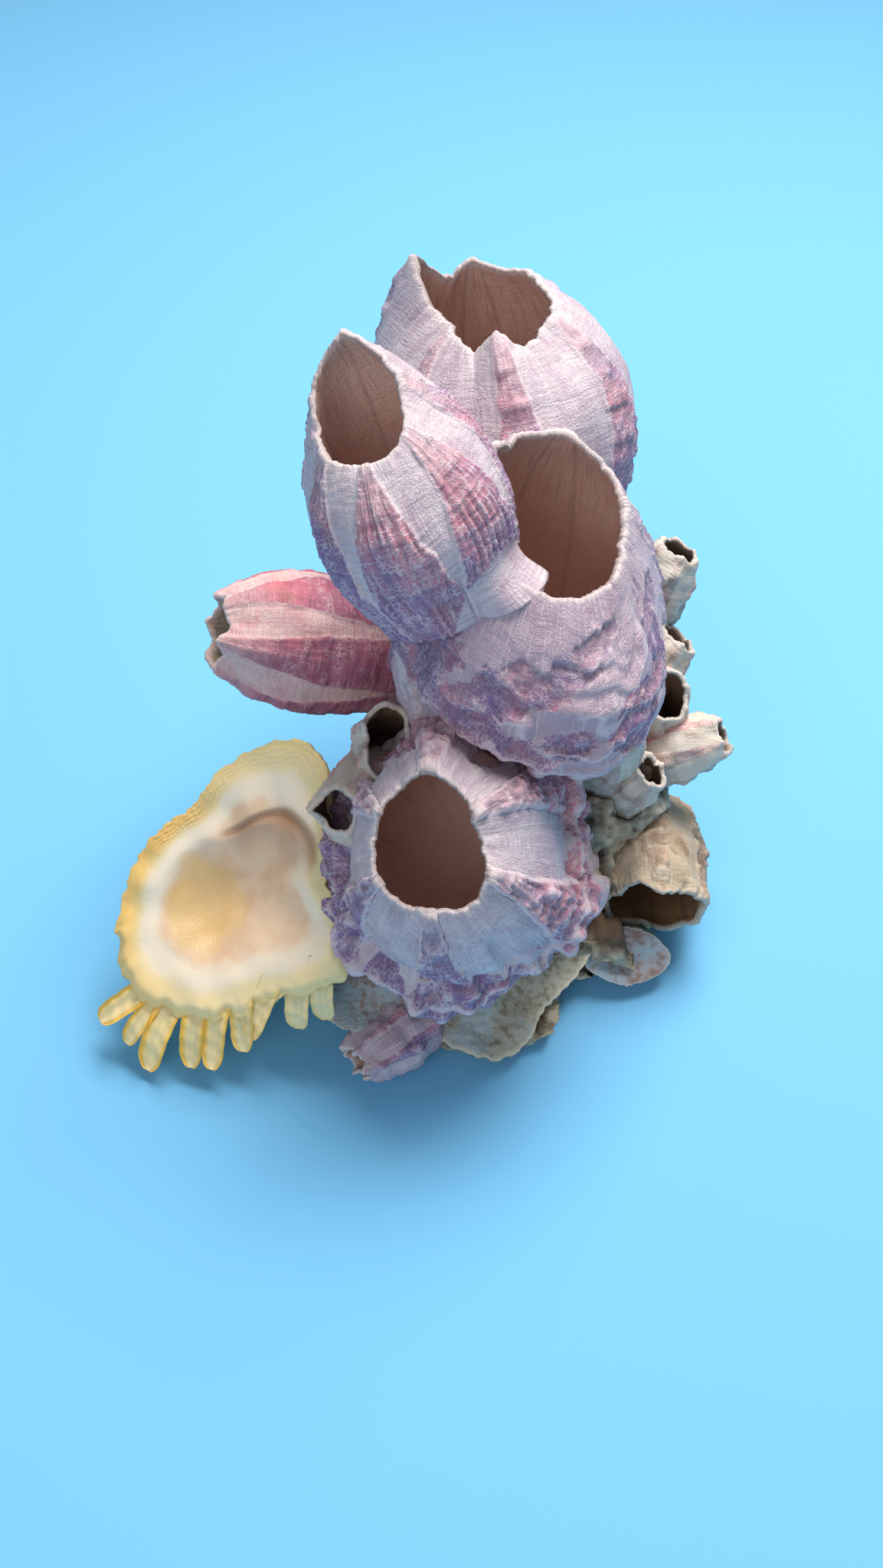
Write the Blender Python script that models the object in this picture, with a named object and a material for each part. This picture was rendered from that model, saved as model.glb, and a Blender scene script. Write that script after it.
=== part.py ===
"""Barnacle cluster: acorn barnacles grown together on a lump of old shell and crust, with one
valve of a spiny jewel-box shell on its left. The lump is cut flat underneath, and rests on the cut.

Places and sizes are in millimetres: +X to the right, +Y to the back, +Z up from the surface that
it stands on. Once they are made, all the pieces move together by a millimetre or so, which brings
the middle of the cluster's outline over the origin.
"""

import math
from dataclasses import dataclass

import bmesh
import bpy
from mathutils import Matrix, Vector, noise

MM = 0.001
# Room left between one piece and the next, where they are cemented together.
GAP = 0.35
# A wall leans, so a cutter is grown sideways by more than the gap that it leaves.
CUT_GROWTH = 1.6 * GAP

# Colours of the finishes, with roughness. No finish here is metallic.
FINISHES = {
    "mauve_shell": ((0.52, 0.38, 0.46), 0.62),
    "pink_shell": ((0.66, 0.36, 0.38), 0.62),
    "pale_shell": ((0.72, 0.66, 0.60), 0.68),
    "old_shell": ((0.50, 0.42, 0.33), 0.8),
    "crust": ((0.38, 0.31, 0.23), 0.9),
    "yellow_shell": ((0.84, 0.68, 0.36), 0.5),
    "plate_shell": ((0.62, 0.60, 0.52), 0.7),
}

# The six wall plates of a barnacle: the direction of each plate's middle round the mouth, in
# degrees, and half its width at the foot. A plate narrows to PLATE_TIP of that at the mouth.
EVEN_PLATES = ((30, 22), (90, 24), (150, 22), (210, 22), (270, 24), (330, 22))
PLATE_TIP = 0.26
# A plate stands this far proud of the smooth strips between the plates, as a share of the belly.
PLATE_STEP = 0.05
# Columns of points over one plate, from -1 to 1, and over the strip beside it, from 0 to 1.
LARGE_PLATE = (-1.0, 0.0, 1.0)
LARGE_STRIP = (0.2, 0.8)
SMALL_PLATE = (-0.8, 0.8)
SMALL_STRIP = (0.5,)
# Rows of points up the wall and down the hollow, as shares of the height and of the depth.
LARGE_WALL = (0.0, 0.22, 0.44, 0.56, 0.78, 1.0)
SMALL_WALL = (0.0, 0.35, 0.7, 1.0)
LARGE_HOLLOW = (0.0, 0.5, 1.0)
SMALL_HOLLOW = (0.0, 1.0)
# Share of the height over which a ledge steps out.
LEDGE_SPREAD = 0.1
# Edges that turn by more than this, in degrees, look sharp, and the rest look round.
SHARP_TURN = 40


@dataclass(frozen=True)
class Barnacle:
    """One animal's shell: a bulging cup of six plates with a jagged mouth."""

    name: str
    # The middle of the foot and of the mouth.
    foot: tuple
    mouth: tuple
    # Radius at the foot, belly, shoulder and mouth.
    radii: tuple
    finish: str = "mauve_shell"
    plates: tuple = EVEN_PLATES
    # How far each plate's tip stands above the mouth, and how proud its outside stands: 1 is usual.
    teeth: tuple = (1.5, 1.0, 1.5, 1.0, 1.2, 1.0)
    proud: tuple = (1, 1, 1, 1, 1, 1)
    # Old growth edges: the share of the height where the wall below steps out, how far it does,
    # the direction of the ledge's middle and half its spread round the wall, in degrees.
    ledges: tuple = ()
    # How far one side of the mouth is raised, and the direction of that side, in degrees.
    tilt: tuple = (0.0, 90.0)
    # How far from round it is at the foot and at the mouth, and the long way's direction.
    oval: tuple = (0.0, 0.0, 90.0)
    # Thickness of the wall at the mouth and beside the floor of the hollow.
    wall: tuple = (1.3, 3.0)
    # Where the hollow's floor is, as a share of the height.
    floor: float = 0.2
    lumps: float = 0.8
    large: bool = True


BARNACLES = (
    Barnacle(
        "front_barnacle",
        foot=(9, -16, 22),
        mouth=(2.3, -38.7, 55.3),
        radii=(14.5, 19.4, 19.3, 10.6),
        plates=((90, 25), (34, 21), (-25, 22), (-92, 22), (-150, 22), (145, 20)),
        teeth=(2.0, 2.0, 1.5, 1.0, 1.0, 1.5),
        proud=(2.4, 1.5, 1.2, 1.2, 1.2, 1.2),
        ledges=((0.5, 3.4, 0, 400),),
        tilt=(1.0, 60),
        oval=(0.0, 0.08, 90),
        wall=(1.4, 3.2),
    ),
    Barnacle(
        "middle_barnacle",
        foot=(14.5, -2, 40),
        mouth=(21.6, -1.2, 89.8),
        radii=(13, 21, 22, 12.4),
        plates=((20, 22), (85, 26), (150, 20), (205, 22), (262, 26), (318, 22)),
        teeth=(0.5, 0.8, 3.0, 1.5, 1.0, 0.5),
        ledges=((0.67, 1.6, 310, 65), (0.5, 1.2, 320, 60), (0.36, -2.0, 215, 45)),
        tilt=(5.5, 110),
        oval=(-0.04, 0.1, 90),
        wall=(1.3, 3.4),
        floor=0.3,
    ),
    Barnacle(
        "upper_left_barnacle",
        foot=(4.8, -5.5, 80.5),
        mouth=(-7.8, -0.5, 108),
        radii=(11, 14.8, 14, 7.6),
        plates=((15, 22), (78, 24), (150, 22), (212, 20), (262, 24), (318, 24)),
        teeth=(1.0, 4.0, 1.5, 0.5, 0.5, 0.5),
        tilt=(5.0, 95),
        oval=(0.0, 0.06, 90),
        wall=(1.2, 2.4),
    ),
    Barnacle(
        "top_barnacle",
        foot=(19.5, 24, 57.5),
        mouth=(11.0, 35.4, 102.8),
        radii=(14, 19, 21.5, 11),
        plates=((40, 24), (95, 22), (150, 26), (218, 20), (278, 20), (335, 24)),
        teeth=(1.0, 1.5, 6.0, 0.5, 3.5, 1.0),
        tilt=(4.0, 110),
        oval=(0.0, -0.03, 90),
        wall=(1.3, 3.2),
        floor=0.3,
    ),
    Barnacle(
        "side_barnacle",
        foot=(-3, 14, 46.5),
        mouth=(-34, 8, 57.2),
        radii=(9, 11.5, 11.5, 6.3),
        finish="pink_shell",
        teeth=(1.5, 1.5, 1.0, 2.0, 1.0, 1.5),
        wall=(1.2, 2.2),
    ),
    Barnacle(
        "left_small_barnacle",
        foot=(-5, -7, 37),
        mouth=(-5, -15.5, 54.5),
        radii=(6.5, 7.2, 6.6, 4.8),
        finish="pale_shell",
        tilt=(1.5, 150),
        oval=(0.0, 0.25, 90),
        wall=(0.9, 1.6),
        large=False,
    ),
    Barnacle(
        "left_beak_barnacle",
        foot=(-3, -10, 35),
        mouth=(-13.0, -25.0, 48.5),
        radii=(8.0, 9.0, 7.5, 3.6),
        finish="pale_shell",
        plates=((0, 24), (60, 24), (120, 20), (180, 26), (240, 22), (300, 22)),
        teeth=(0.5, 0.5, 0.5, 3.0, 0.5, 0.5),
        wall=(0.8, 1.5),
        large=False,
    ),
    Barnacle(
        "right_barnacle_a",
        foot=(38, 23, 42.5),
        mouth=(46.4, 26.5, 60),
        radii=(5.0, 6.0, 6.0, 3.6),
        finish="pale_shell",
        teeth=(0.5, 0.3, 0.6, 0.4, 0.7, 0.4),
        wall=(0.8, 1.4),
        large=False,
    ),
    Barnacle(
        "right_barnacle_b",
        foot=(38, 13, 37),
        mouth=(46.6, 16.5, 48),
        radii=(4.6, 5.0, 4.8, 3.4),
        finish="pale_shell",
        teeth=(0.5, 0.3, 0.6, 0.4, 0.7, 0.4),
        wall=(0.8, 1.4),
        large=False,
    ),
    Barnacle(
        "right_barnacle_c",
        foot=(40, 11, 31),
        mouth=(43.8, 3.5, 46.5),
        radii=(5.2, 6.2, 5.8, 4.0),
        finish="pale_shell",
        teeth=(0.5, 0.3, 0.6, 0.4, 0.7, 0.4),
        tilt=(1.5, 120),
        wall=(0.8, 1.4),
        large=False,
    ),
    Barnacle(
        "right_barnacle_d",
        foot=(32, 0, 32),
        mouth=(34.0, -8.5, 51),
        radii=(5.8, 6.6, 6.0, 4.0),
        finish="pale_shell",
        teeth=(0.5, 0.3, 0.6, 0.4, 0.7, 0.4),
        tilt=(1.5, 60),
        oval=(0.0, 0.12, 80),
        wall=(0.8, 1.4),
        large=False,
    ),
    Barnacle(
        "right_barnacle_e",
        foot=(39, 2, 31),
        mouth=(54, 1.0, 38.5),
        radii=(4.8, 5.6, 5.4, 3.2),
        finish="pale_shell",
        teeth=(0.5, 0.3, 0.6, 0.4, 0.7, 0.4),
        wall=(0.8, 1.4),
        large=False,
    ),
    Barnacle(
        "right_barnacle_f",
        foot=(34, -2, 26),
        mouth=(40.4, -8.0, 39.5),
        radii=(4.8, 5.3, 4.8, 2.8),
        finish="pale_shell",
        teeth=(0.5, 0.3, 0.6, 0.4, 0.7, 0.4),
        wall=(0.7, 1.3),
        large=False,
    ),
    Barnacle(
        "bottom_barnacle",
        foot=(1, -37, 6.6),
        mouth=(-10.5, -46, 6.4),
        radii=(5.2, 5.9, 5.4, 3.2),
        oval=(0.0, 0.15, 0),
        wall=(0.8, 1.5),
        large=False,
    ),
    Barnacle(
        "old_barnacle_shell",
        foot=(41, 3, 12.5),
        mouth=(42.5, -18, 14),
        radii=(9, 11, 10.8, 8.8),
        finish="old_shell",
        teeth=(0.5, 2.5, 0.5, 0.5, 0.5, 1.0),
        tilt=(3.0, 60),
        wall=(1.4, 2.4),
        floor=0.35,
        lumps=1.2,
        large=False,
    ),
)


@dataclass(frozen=True)
class Valve:
    """One half of a bivalve's shell: a dish with an uneven outline."""

    name: str
    centre: tuple
    # The direction that the dish opens towards.
    facing: tuple
    # Radius of the outline in evenly spaced directions, from across the dish, turning from +X to +Z.
    outline: tuple
    # How deep the dish is, and the share of the radius where it begins.
    hollow: tuple
    # Thickness at the edge and in the middle.
    thick: tuple
    finish: str
    lumps: float = 0.5


VALVES = (
    Valve(
        "spiny_valve",
        centre=(-31, -25, 29),
        facing=(-0.25, -0.6, 0.76),
        outline=(
            *(16.0, 17.0, 19.5, 23.5, 27.0, 25.5, 22.0, 18.5, 16.2, 16.4, 17.4, 19.0),
            *(21.1, 23.3, 26.0, 26.6, 25.4, 23.8, 22.2, 20.7, 21.6, 23.9, 24.5, 19.5),
        ),
        hollow=(7.0, 0.72),
        thick=(1.6, 4.5),
        finish="yellow_shell",
        lumps=1.0,
    ),
    Valve(
        "ledge_valve",
        centre=(13, -29, 10),
        facing=(0.05, -0.35, 0.93),
        outline=(
            *(16.0, 20.5, 20.0, 18.6, 18.0, 17.6, 18.1, 18.8),
            *(19.2, 18.8, 16.4, 15.9, 16.4, 15.0, 12.0, 12.6),
        ),
        hollow=(-1.5, 0.8),
        thick=(1.8, 3.5),
        finish="plate_shell",
        lumps=1.4,
    ),
    Valve(
        "clam_valve",
        centre=(37.5, -25.5, 7.0),
        facing=(0.15, -0.7, 0.7),
        outline=(8.4, 7.4, 6.6, 6.5, 6.8, 8.0, 7.8, 5.4, 4.4, 4.4, 4.6, 6.0),
        hollow=(1.6, 0.85),
        thick=(0.9, 1.6),
        finish="pale_shell",
        lumps=0.3,
    ),
    Valve(
        "flake_valve",
        centre=(-9, -38, 12.5),
        facing=(-0.1, -0.5, 0.86),
        outline=(7.4, 7.5, 7.6, 8.9, 9.3, 10.0, 9.5, 6.9, 5.6, 5.0, 5.4, 6.3),
        hollow=(1.0, 0.9),
        thick=(1.2, 2.0),
        finish="plate_shell",
        lumps=0.8,
    ),
)

# Foot, tip and half width of each spine along the spiny valve's lower edge.
SPINES = (
    ((-46.3, -34.8, 13.2), (-56.0, -38.5, 7.6), 2.3),
    ((-44.6, -36.3, 12.9), (-51.3, -41.9, 5.4), 1.9),
    ((-42.3, -37.3, 13.0), (-47.6, -45.6, 2.6), 2.6),
    ((-37.6, -38.4, 14.0), (-39.8, -46.0, 4.1), 2.3),
    ((-33.6, -39.0, 14.9), (-35.9, -46.8, 4.9), 2.3),
    ((-29.8, -39.2, 16.1), (-30.1, -45.0, 7.9), 2.2),
    ((-24.5, -37.9, 18.8), (-28.9, -44.0, 10.3), 2.1),
    ((-20.0, -38.0, 20.0), (-20.4, -43.4, 12.4), 2.3),
    ((-16.0, -37.9, 21.5), (-15.7, -42.9, 14.2), 2.2),
)

# The crust: centre and half sizes of the lumps that it's built up from.
LUMPS = (
    ((10, -5, 12), (29, 27, 20)),
    ((15, 12, 38), (18, 18, 26)),
    ((20, 23, 51), (15, 13, 13)),
    ((33, 3, 22), (14, 18, 18)),
    ((34, 18, 38), (12, 13, 15)),
    ((8, -20, 12), (17, 12, 12)),
    ((-10, -10, 22), (13, 14, 15)),
    ((-16, -16, 26), (10, 10, 9)),
    ((8, -33, 3), (20, 9, 5)),
    ((32, -20, 6), (12, 9, 7)),
    ((0, 14, 40), (9, 9, 10)),
    ((36, -12, 8), (10, 14, 9)),
    ((14, 20, 8), (24, 18, 14)),
    ((-14, 4, 8), (14, 14, 12)),
    ((31, -20, 15), (6, 6, 6)),
)
# Pits and holes in the crust, the same way.
PITS = (
    ((3, -17, 52), (4, 6, 6)),
    ((17, -17, 50), (3.5, 6, 6)),
    ((38, -6, 33), (2.5, 4, 5)),
    ((35, -24, 17), (7, 8, 5)),
    ((24, -34, 13), (5, 4, 3)),
    ((-18, 16, 14), (5, 7, 5)),
    ((8, 36, 16), (6, 6, 4)),
    ((34, 32, 22), (5, 6, 6)),
    ((22, 36, 34), (4, 5, 5)),
)
# Size of the cells that the crust is rebuilt in, share of its triangles that are kept, and how
# far its surface is pushed in and out.
CRUST_CELL = 2.4
CRUST_KEPT = 0.02
CRUST_ROUGH = 6.0


def profile(values, share):
    """The smooth curve through evenly spaced values, read at a share of its length."""
    last = len(values) - 1
    total = 0.0
    for i, value in enumerate(values):
        weight = 1.0
        for j in range(last + 1):
            if j != i:
                weight *= (share * last - j) / (i - j)
        total += value * weight
    return total


def axes_of(barnacle):
    """The barnacle's foot, length and three directions: across, back and along its axis."""
    foot = Vector(barnacle.foot)
    along = Vector(barnacle.mouth) - foot
    length = along.length
    along.normalize()
    start = Vector((1, 0, 0)) if abs(along.x) < 0.8 else Vector((0, 1, 0))
    across = (start - along * along.dot(start)).normalized()
    return foot, length, across, along.cross(across), along


def columns(barnacle, share):
    """(angle in degrees, relief) of each column of points at a share of the height. A column
    follows its plate's edge, so plates are triangles and the strips between them widen upwards."""
    plates = sorted(barnacle.plates, key=lambda plate: plate[0] % 360)
    plate_steps = LARGE_PLATE if barnacle.large else SMALL_PLATE
    strip_steps = LARGE_STRIP if barnacle.large else SMALL_STRIP
    narrowed = 1 - (1 - PLATE_TIP) * share
    found = []
    for i, (middle, half) in enumerate(plates):
        proud = barnacle.proud[barnacle.plates.index((middle, half))]
        middle = middle % 360
        after, after_half = plates[(i + 1) % len(plates)]
        after = after % 360 + (360 if i == len(plates) - 1 else 0)
        for step in plate_steps:
            found.append((middle + half * narrowed * step, proud * (1.15 - 0.15 * step * step)))
        left = middle + half * narrowed
        right = after - after_half * narrowed
        for step in strip_steps:
            found.append((left + (right - left) * step, 0.0))
    return found


def turn_between(a, b):
    """The smaller angle between two directions in degrees."""
    return abs((a - b + 180) % 360 - 180)


def rim_height(barnacle, length, angle):
    """Height of the mouth's edge in a direction: tilted, with a tooth over each plate."""
    raised, towards = barnacle.tilt
    height = length + raised * math.cos(math.radians(angle - towards))
    for (middle, half), tooth in zip(barnacle.plates, barnacle.teeth):
        height += tooth * max(0.0, 1 - turn_between(angle, middle) / half)
    return height


def ledge_step(barnacle, angle, share):
    """How far the wall is stepped out by the ledges above a point, fading towards the foot."""
    total = 0.0
    for edge, step, towards, half in barnacle.ledges:
        below = min(1.0, max(0.0, (edge - share) / LEDGE_SPREAD + 0.5))
        spread = max(0.0, 1 - (turn_between(angle, towards) / half) ** 2)
        total += step * below * spread * (share / edge) ** 0.5
    return total


def wall_point(barnacle, angle, share, relief, grown=0.0):
    """A point on the outside of the wall."""
    foot, length, across, back, along = axes_of(barnacle)
    low_oval, high_oval, long_way = barnacle.oval
    oval = low_oval + (high_oval - low_oval) * share
    radius = profile(barnacle.radii, share)
    radius *= 1 + oval * math.cos(math.radians(2 * (angle - long_way)))
    radius += relief * PLATE_STEP * barnacle.radii[1] * (1 - 0.5 * share)
    radius += ledge_step(barnacle, angle, share)
    way = across * math.cos(math.radians(angle)) + back * math.sin(math.radians(angle))
    point = foot + way * radius + along * (rim_height(barnacle, length, angle) * share)
    size = barnacle.radii[1] * 0.5
    radius_lump = barnacle.lumps * noise.noise(point / size)
    return point + way * (radius_lump + grown)


def hollow_point(barnacle, angle, depth):
    """A point on the inside of the wall, from depth 0 at the mouth to 1 at the floor."""
    foot, length, across, back, along = axes_of(barnacle)
    thin, thick = barnacle.wall
    share = 1 - depth * (1 - barnacle.floor)
    low_oval, high_oval, long_way = barnacle.oval
    oval = low_oval + (high_oval - low_oval) * share
    radius = profile(barnacle.radii, share)
    radius *= 1 + oval * math.cos(math.radians(2 * (angle - long_way)))
    radius -= thin + (thick - thin) * depth
    way = across * math.cos(math.radians(angle)) + back * math.sin(math.radians(angle))
    rim = rim_height(barnacle, length, angle) - 0.15 * thin
    height = rim + (barnacle.floor * length - rim) * depth
    size = barnacle.radii[1] * 0.5
    point = foot + way * radius + along * height
    return point + way * (barnacle.lumps * noise.noise(point / size) * (1 - depth))


def ring_of(mesh, points):
    return [mesh.verts.new(point * MM) for point in points]


def join_rings(mesh, lower, upper):
    """Quads between two rings with the same number of points."""
    count = len(lower)
    for i in range(count):
        j = (i + 1) % count
        mesh.faces.new((lower[i], lower[j], upper[j], upper[i]))


def close_ring(mesh, ring, upwards, lift=None):
    """A fan over a ring, round a point in its middle."""
    middle = sum((vert.co for vert in ring), Vector()) / len(ring)
    if lift is not None:
        middle = middle + lift * MM
    tip = mesh.verts.new(middle)
    count = len(ring)
    for i in range(count):
        a, b = ring[i], ring[(i + 1) % count]
        mesh.faces.new((a, b, tip) if upwards else (b, a, tip))


def finished(name, mesh, finish=None):
    """The object made from a bmesh, in triangles, with its finish."""
    bmesh.ops.triangulate(mesh, faces=mesh.faces[:])
    data = bpy.data.meshes.new(name)
    mesh.to_mesh(data)
    mesh.free()
    made = bpy.data.objects.new(name, data)
    bpy.context.scene.collection.objects.link(made)
    if finish:
        made.data.materials.append(material_of(finish))
    return made


def material_of(finish):
    """The finish's material, made the first time that a piece asks for it."""
    material = bpy.data.materials.get(finish)
    if material:
        return material
    colour, roughness = FINISHES[finish]
    material = bpy.data.materials.new(finish)
    material.use_nodes = True
    shader = material.node_tree.nodes["Principled BSDF"]
    shader.inputs["Base Color"].default_value = (*colour, 1)
    shader.inputs["Roughness"].default_value = roughness
    shader.inputs["Metallic"].default_value = 0
    return material


def barnacle_solid(barnacle):
    """The shell with its hollow open at the mouth."""
    mesh = bmesh.new()
    rings = []
    for share in LARGE_WALL if barnacle.large else SMALL_WALL:
        points = [wall_point(barnacle, a, share, relief) for a, relief in columns(barnacle, share)]
        rings.append(ring_of(mesh, points))
    mouth_angles = [a for a, _ in columns(barnacle, 1.0)]
    for depth in LARGE_HOLLOW if barnacle.large else SMALL_HOLLOW:
        points = [hollow_point(barnacle, a, depth) for a in mouth_angles]
        rings.append(ring_of(mesh, points))
    for lower, upper in zip(rings, rings[1:]):
        join_rings(mesh, lower, upper)
    close_ring(mesh, rings[0], upwards=False)
    close_ring(mesh, rings[-1], upwards=True)
    return finished(barnacle.name, mesh, barnacle.finish)


def barnacle_cutter(barnacle):
    """The room that the barnacle takes up, its hollow filled, grown by the gap all round."""
    along = axes_of(barnacle)[4]
    mesh = bmesh.new()
    rings = []
    for share in LARGE_WALL if barnacle.large else SMALL_WALL:
        points = [
            wall_point(barnacle, a, share, relief, grown=CUT_GROWTH)
            for a, relief in columns(barnacle, share)
        ]
        if share == 0.0:
            points = [point - along * GAP for point in points]
        if share == 1.0:
            points = [point + along * GAP for point in points]
        rings.append(ring_of(mesh, points))
    for lower, upper in zip(rings, rings[1:]):
        join_rings(mesh, lower, upper)
    close_ring(mesh, rings[0], upwards=False)
    close_ring(mesh, rings[-1], upwards=True, lift=along * 4)
    return finished(barnacle.name + "_cutter", mesh)


def outline_radius(outline, angle):
    """The outline's radius in a direction, on a smooth curve through its values."""
    count = len(outline)
    place = angle % 360 * count / 360
    i = int(place) % count
    share = place - int(place)
    before, a, b, after = (outline[(i + k) % count] for k in (-1, 0, 1, 2))
    bend = (2 * before - 5 * a + 4 * b - after) * share**2
    twist = (3 * (a - b) + after - before) * share**3
    return a + 0.5 * ((b - before) * share + bend + twist)


def valve_point(valve, angle, share, back=False, room=False):
    """A point on the front or back of a valve, or of the room that it takes up: its dish filled
    to a little above the edge, and the rest grown by the gap."""
    facing = Vector(valve.facing).normalized()
    across = (Vector((1, 0, 0)) - facing * facing.x).normalized()
    up = facing.cross(across)
    depth, lip = valve.hollow
    inside = max(0.0, 1 - (share / lip) ** 2)
    height = -depth * inside * inside
    if back:
        edge, middle = valve.thick
        height -= edge + (middle - edge) * (1 - share**4) + (GAP if room else 0.0)
    elif room:
        height = max(height, 0.0) + 2 * GAP
    radius = outline_radius(valve.outline, angle) * share
    way = across * math.cos(math.radians(angle)) + up * math.sin(math.radians(angle))
    point = Vector(valve.centre) + way * radius
    height += valve.lumps * noise.noise(point / 6)
    return point + way * (CUT_GROWTH * share if room else 0.0) + facing * height


def valve_solid(valve, room=False):
    """The valve, or the cutter that makes room for it."""
    steps = max(16, len(valve.outline))
    angles = [360 * i / steps for i in range(steps)]
    shares = (0.35, 0.7, 1.0)
    mesh = bmesh.new()
    rings = []
    for share in shares:
        rings.append(ring_of(mesh, [valve_point(valve, a, share, True, room) for a in angles]))
    for share in reversed(shares):
        rings.append(ring_of(mesh, [valve_point(valve, a, share, False, room) for a in angles]))
    for lower, upper in zip(rings, rings[1:]):
        join_rings(mesh, lower, upper)
    close_ring(mesh, rings[0], upwards=False)
    close_ring(mesh, rings[-1], upwards=True)
    if room:
        return finished(valve.name + "_cutter", mesh)
    return finished(valve.name, mesh, valve.finish)


def spine(foot, tip, half_width):
    """A blunt, bent spine, wide across and thin from front to back."""
    foot = Vector(foot)
    tip = Vector(tip)
    along = (tip - foot).normalized()
    facing = Vector((-0.25, -0.6, 0.76))
    wide = along.cross(facing).normalized()
    thin = wide.cross(along)
    mesh = bmesh.new()
    rings = []
    for share, size in ((0.0, 1.0), (0.6, 0.95), (1.0, 0.5)):
        middle = foot.lerp(tip, share) + thin * (0.8 * math.sin(math.pi * share))
        points = []
        for i in range(6):
            turn = math.radians(60 * i)
            side = wide * math.cos(turn) + thin * (0.55 * math.sin(turn))
            points.append(middle + side * (half_width * size))
        rings.append(ring_of(mesh, points))
    for lower, upper in zip(rings, rings[1:]):
        join_rings(mesh, lower, upper)
    close_ring(mesh, rings[0], upwards=False)
    close_ring(mesh, rings[-1], upwards=True)
    bmesh.ops.recalc_face_normals(mesh, faces=mesh.faces[:])
    return finished("spine_cutter", mesh)


def lumps_of(name, lumps, roundness, finish=None):
    """Rounded lumps in one mesh, which may pass through one another."""
    mesh = bmesh.new()
    for centre, half_sizes in lumps:
        made = bmesh.ops.create_icosphere(mesh, subdivisions=roundness, radius=1)
        for vert in made["verts"]:
            stretched = (a * b for a, b in zip(vert.co, half_sizes))
            vert.co = (Vector(centre) + Vector(stretched)) * MM
    return finished(name, mesh, finish)


def modifier_of(piece, kind, **settings):
    """A modifier with these settings, the same in the viewport and in a render."""
    modifier = piece.modifiers.new(kind.lower(), kind)
    for name, value in settings.items():
        setattr(modifier, name, value)
    return modifier


def boolean(piece, other, operation="DIFFERENCE"):
    """Cuts the other solid out of a piece or joins it on, and hides the other solid."""
    modifier_of(piece, "BOOLEAN", operation=operation, object=other, solver="EXACT")
    other.hide_render = True
    other.display_type = "WIRE"


def crust_solid():
    """Old crust that everything grows on: lumps run together, roughened, pitted, cut flat below."""
    crust = lumps_of("crust_base", LUMPS, 3, "crust")
    modifier_of(crust, "REMESH", mode="VOXEL", voxel_size=CRUST_CELL * MM)
    clouds = bpy.data.textures.new("crust_lumps", "CLOUDS")
    clouds.noise_scale = 0.009
    modifier_of(
        crust, "DISPLACE", texture=clouds, texture_coords="LOCAL", strength=CRUST_ROUGH * MM
    )
    modifier_of(crust, "DECIMATE", ratio=CRUST_KEPT)
    for i, pit in enumerate(PITS):
        boolean(crust, lumps_of(f"pit_{i}_cutter", (pit,), 1))
    below = lumps_of("ground_cutter", (), 1)
    mesh = bmesh.new()
    bmesh.ops.create_cube(mesh, size=1)
    for vert in mesh.verts:
        vert.co = Vector((vert.co.x * 200, vert.co.y * 200, vert.co.z * 60 - 30)) * MM
    mesh.to_mesh(below.data)
    mesh.free()
    boolean(crust, below)
    return crust


def keep_main_body(piece):
    """Works out a piece's cuts and leaves its largest body, shaded round, without the crumbs."""
    graph = bpy.context.evaluated_depsgraph_get()
    mesh = bmesh.new()
    mesh.from_object(piece, graph)
    piece.modifiers.clear()
    unseen = set(mesh.verts)
    bodies = []
    while unseen:
        body = set()
        edge = [unseen.pop()]
        while edge:
            vert = edge.pop()
            body.add(vert)
            near = {link.other_vert(vert) for link in vert.link_edges} & unseen
            unseen -= near
            edge.extend(near)
        bodies.append(body)
    largest = max(bodies, key=len)
    crumbs = [vert for vert in mesh.verts if vert not in largest]
    bmesh.ops.delete(mesh, geom=crumbs, context="VERTS")
    bmesh.ops.triangulate(mesh, faces=mesh.faces[:])
    mesh.to_mesh(piece.data)
    mesh.free()
    piece.data.shade_smooth()
    piece.data.set_sharp_from_angle(angle=math.radians(SHARP_TURN))


def meet(piece, cutter):
    """Whether the boxes round a piece and a cutter meet."""
    spans = []
    for thing in (piece, cutter):
        corners = [vert.co for vert in thing.data.vertices]
        spans.append([(min(c[k] for c in corners), max(c[k] for c in corners)) for k in range(3)])
    return all(a[0] < b[1] and b[0] < a[1] for a, b in zip(*spans))


def centre_outline(pieces):
    """Moves the pieces so that the middle of their outline is over the origin."""
    corners = [vert.co for piece in pieces for vert in piece.data.vertices]
    middle = [(min(c[k] for c in corners) + max(c[k] for c in corners)) / 2 for k in range(2)]
    for piece in pieces:
        piece.data.transform(Matrix.Translation((-middle[0], -middle[1], 0)))


def main():
    for old in list(bpy.data.objects):
        bpy.data.objects.remove(old, do_unlink=True)
    # In this order: each piece is cut back where an earlier one already stands.
    standing = []
    for barnacle in BARNACLES:
        standing.append((barnacle_solid(barnacle), barnacle_cutter(barnacle)))
    for valve in VALVES:
        solid = valve_solid(valve)
        if valve.name == "spiny_valve":
            for place in SPINES:
                boolean(solid, spine(*place), "UNION")
        standing.append((solid, valve_solid(valve, room=True)))
    standing.append((crust_solid(), None))
    for later, (piece, _) in enumerate(standing):
        for _, cutter in standing[:later]:
            if meet(piece, cutter):
                boolean(piece, cutter)
    pieces = [piece for piece, _ in standing]
    for piece in pieces:
        keep_main_body(piece)
    centre_outline(pieces)
    for _, cutter in standing:
        if cutter and not cutter.hide_render:
            cutter.hide_render = True
            cutter.display_type = "WIRE"


main()
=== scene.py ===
import math
from dataclasses import dataclass

import bpy
import numpy as np
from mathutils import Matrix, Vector, noise


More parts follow.
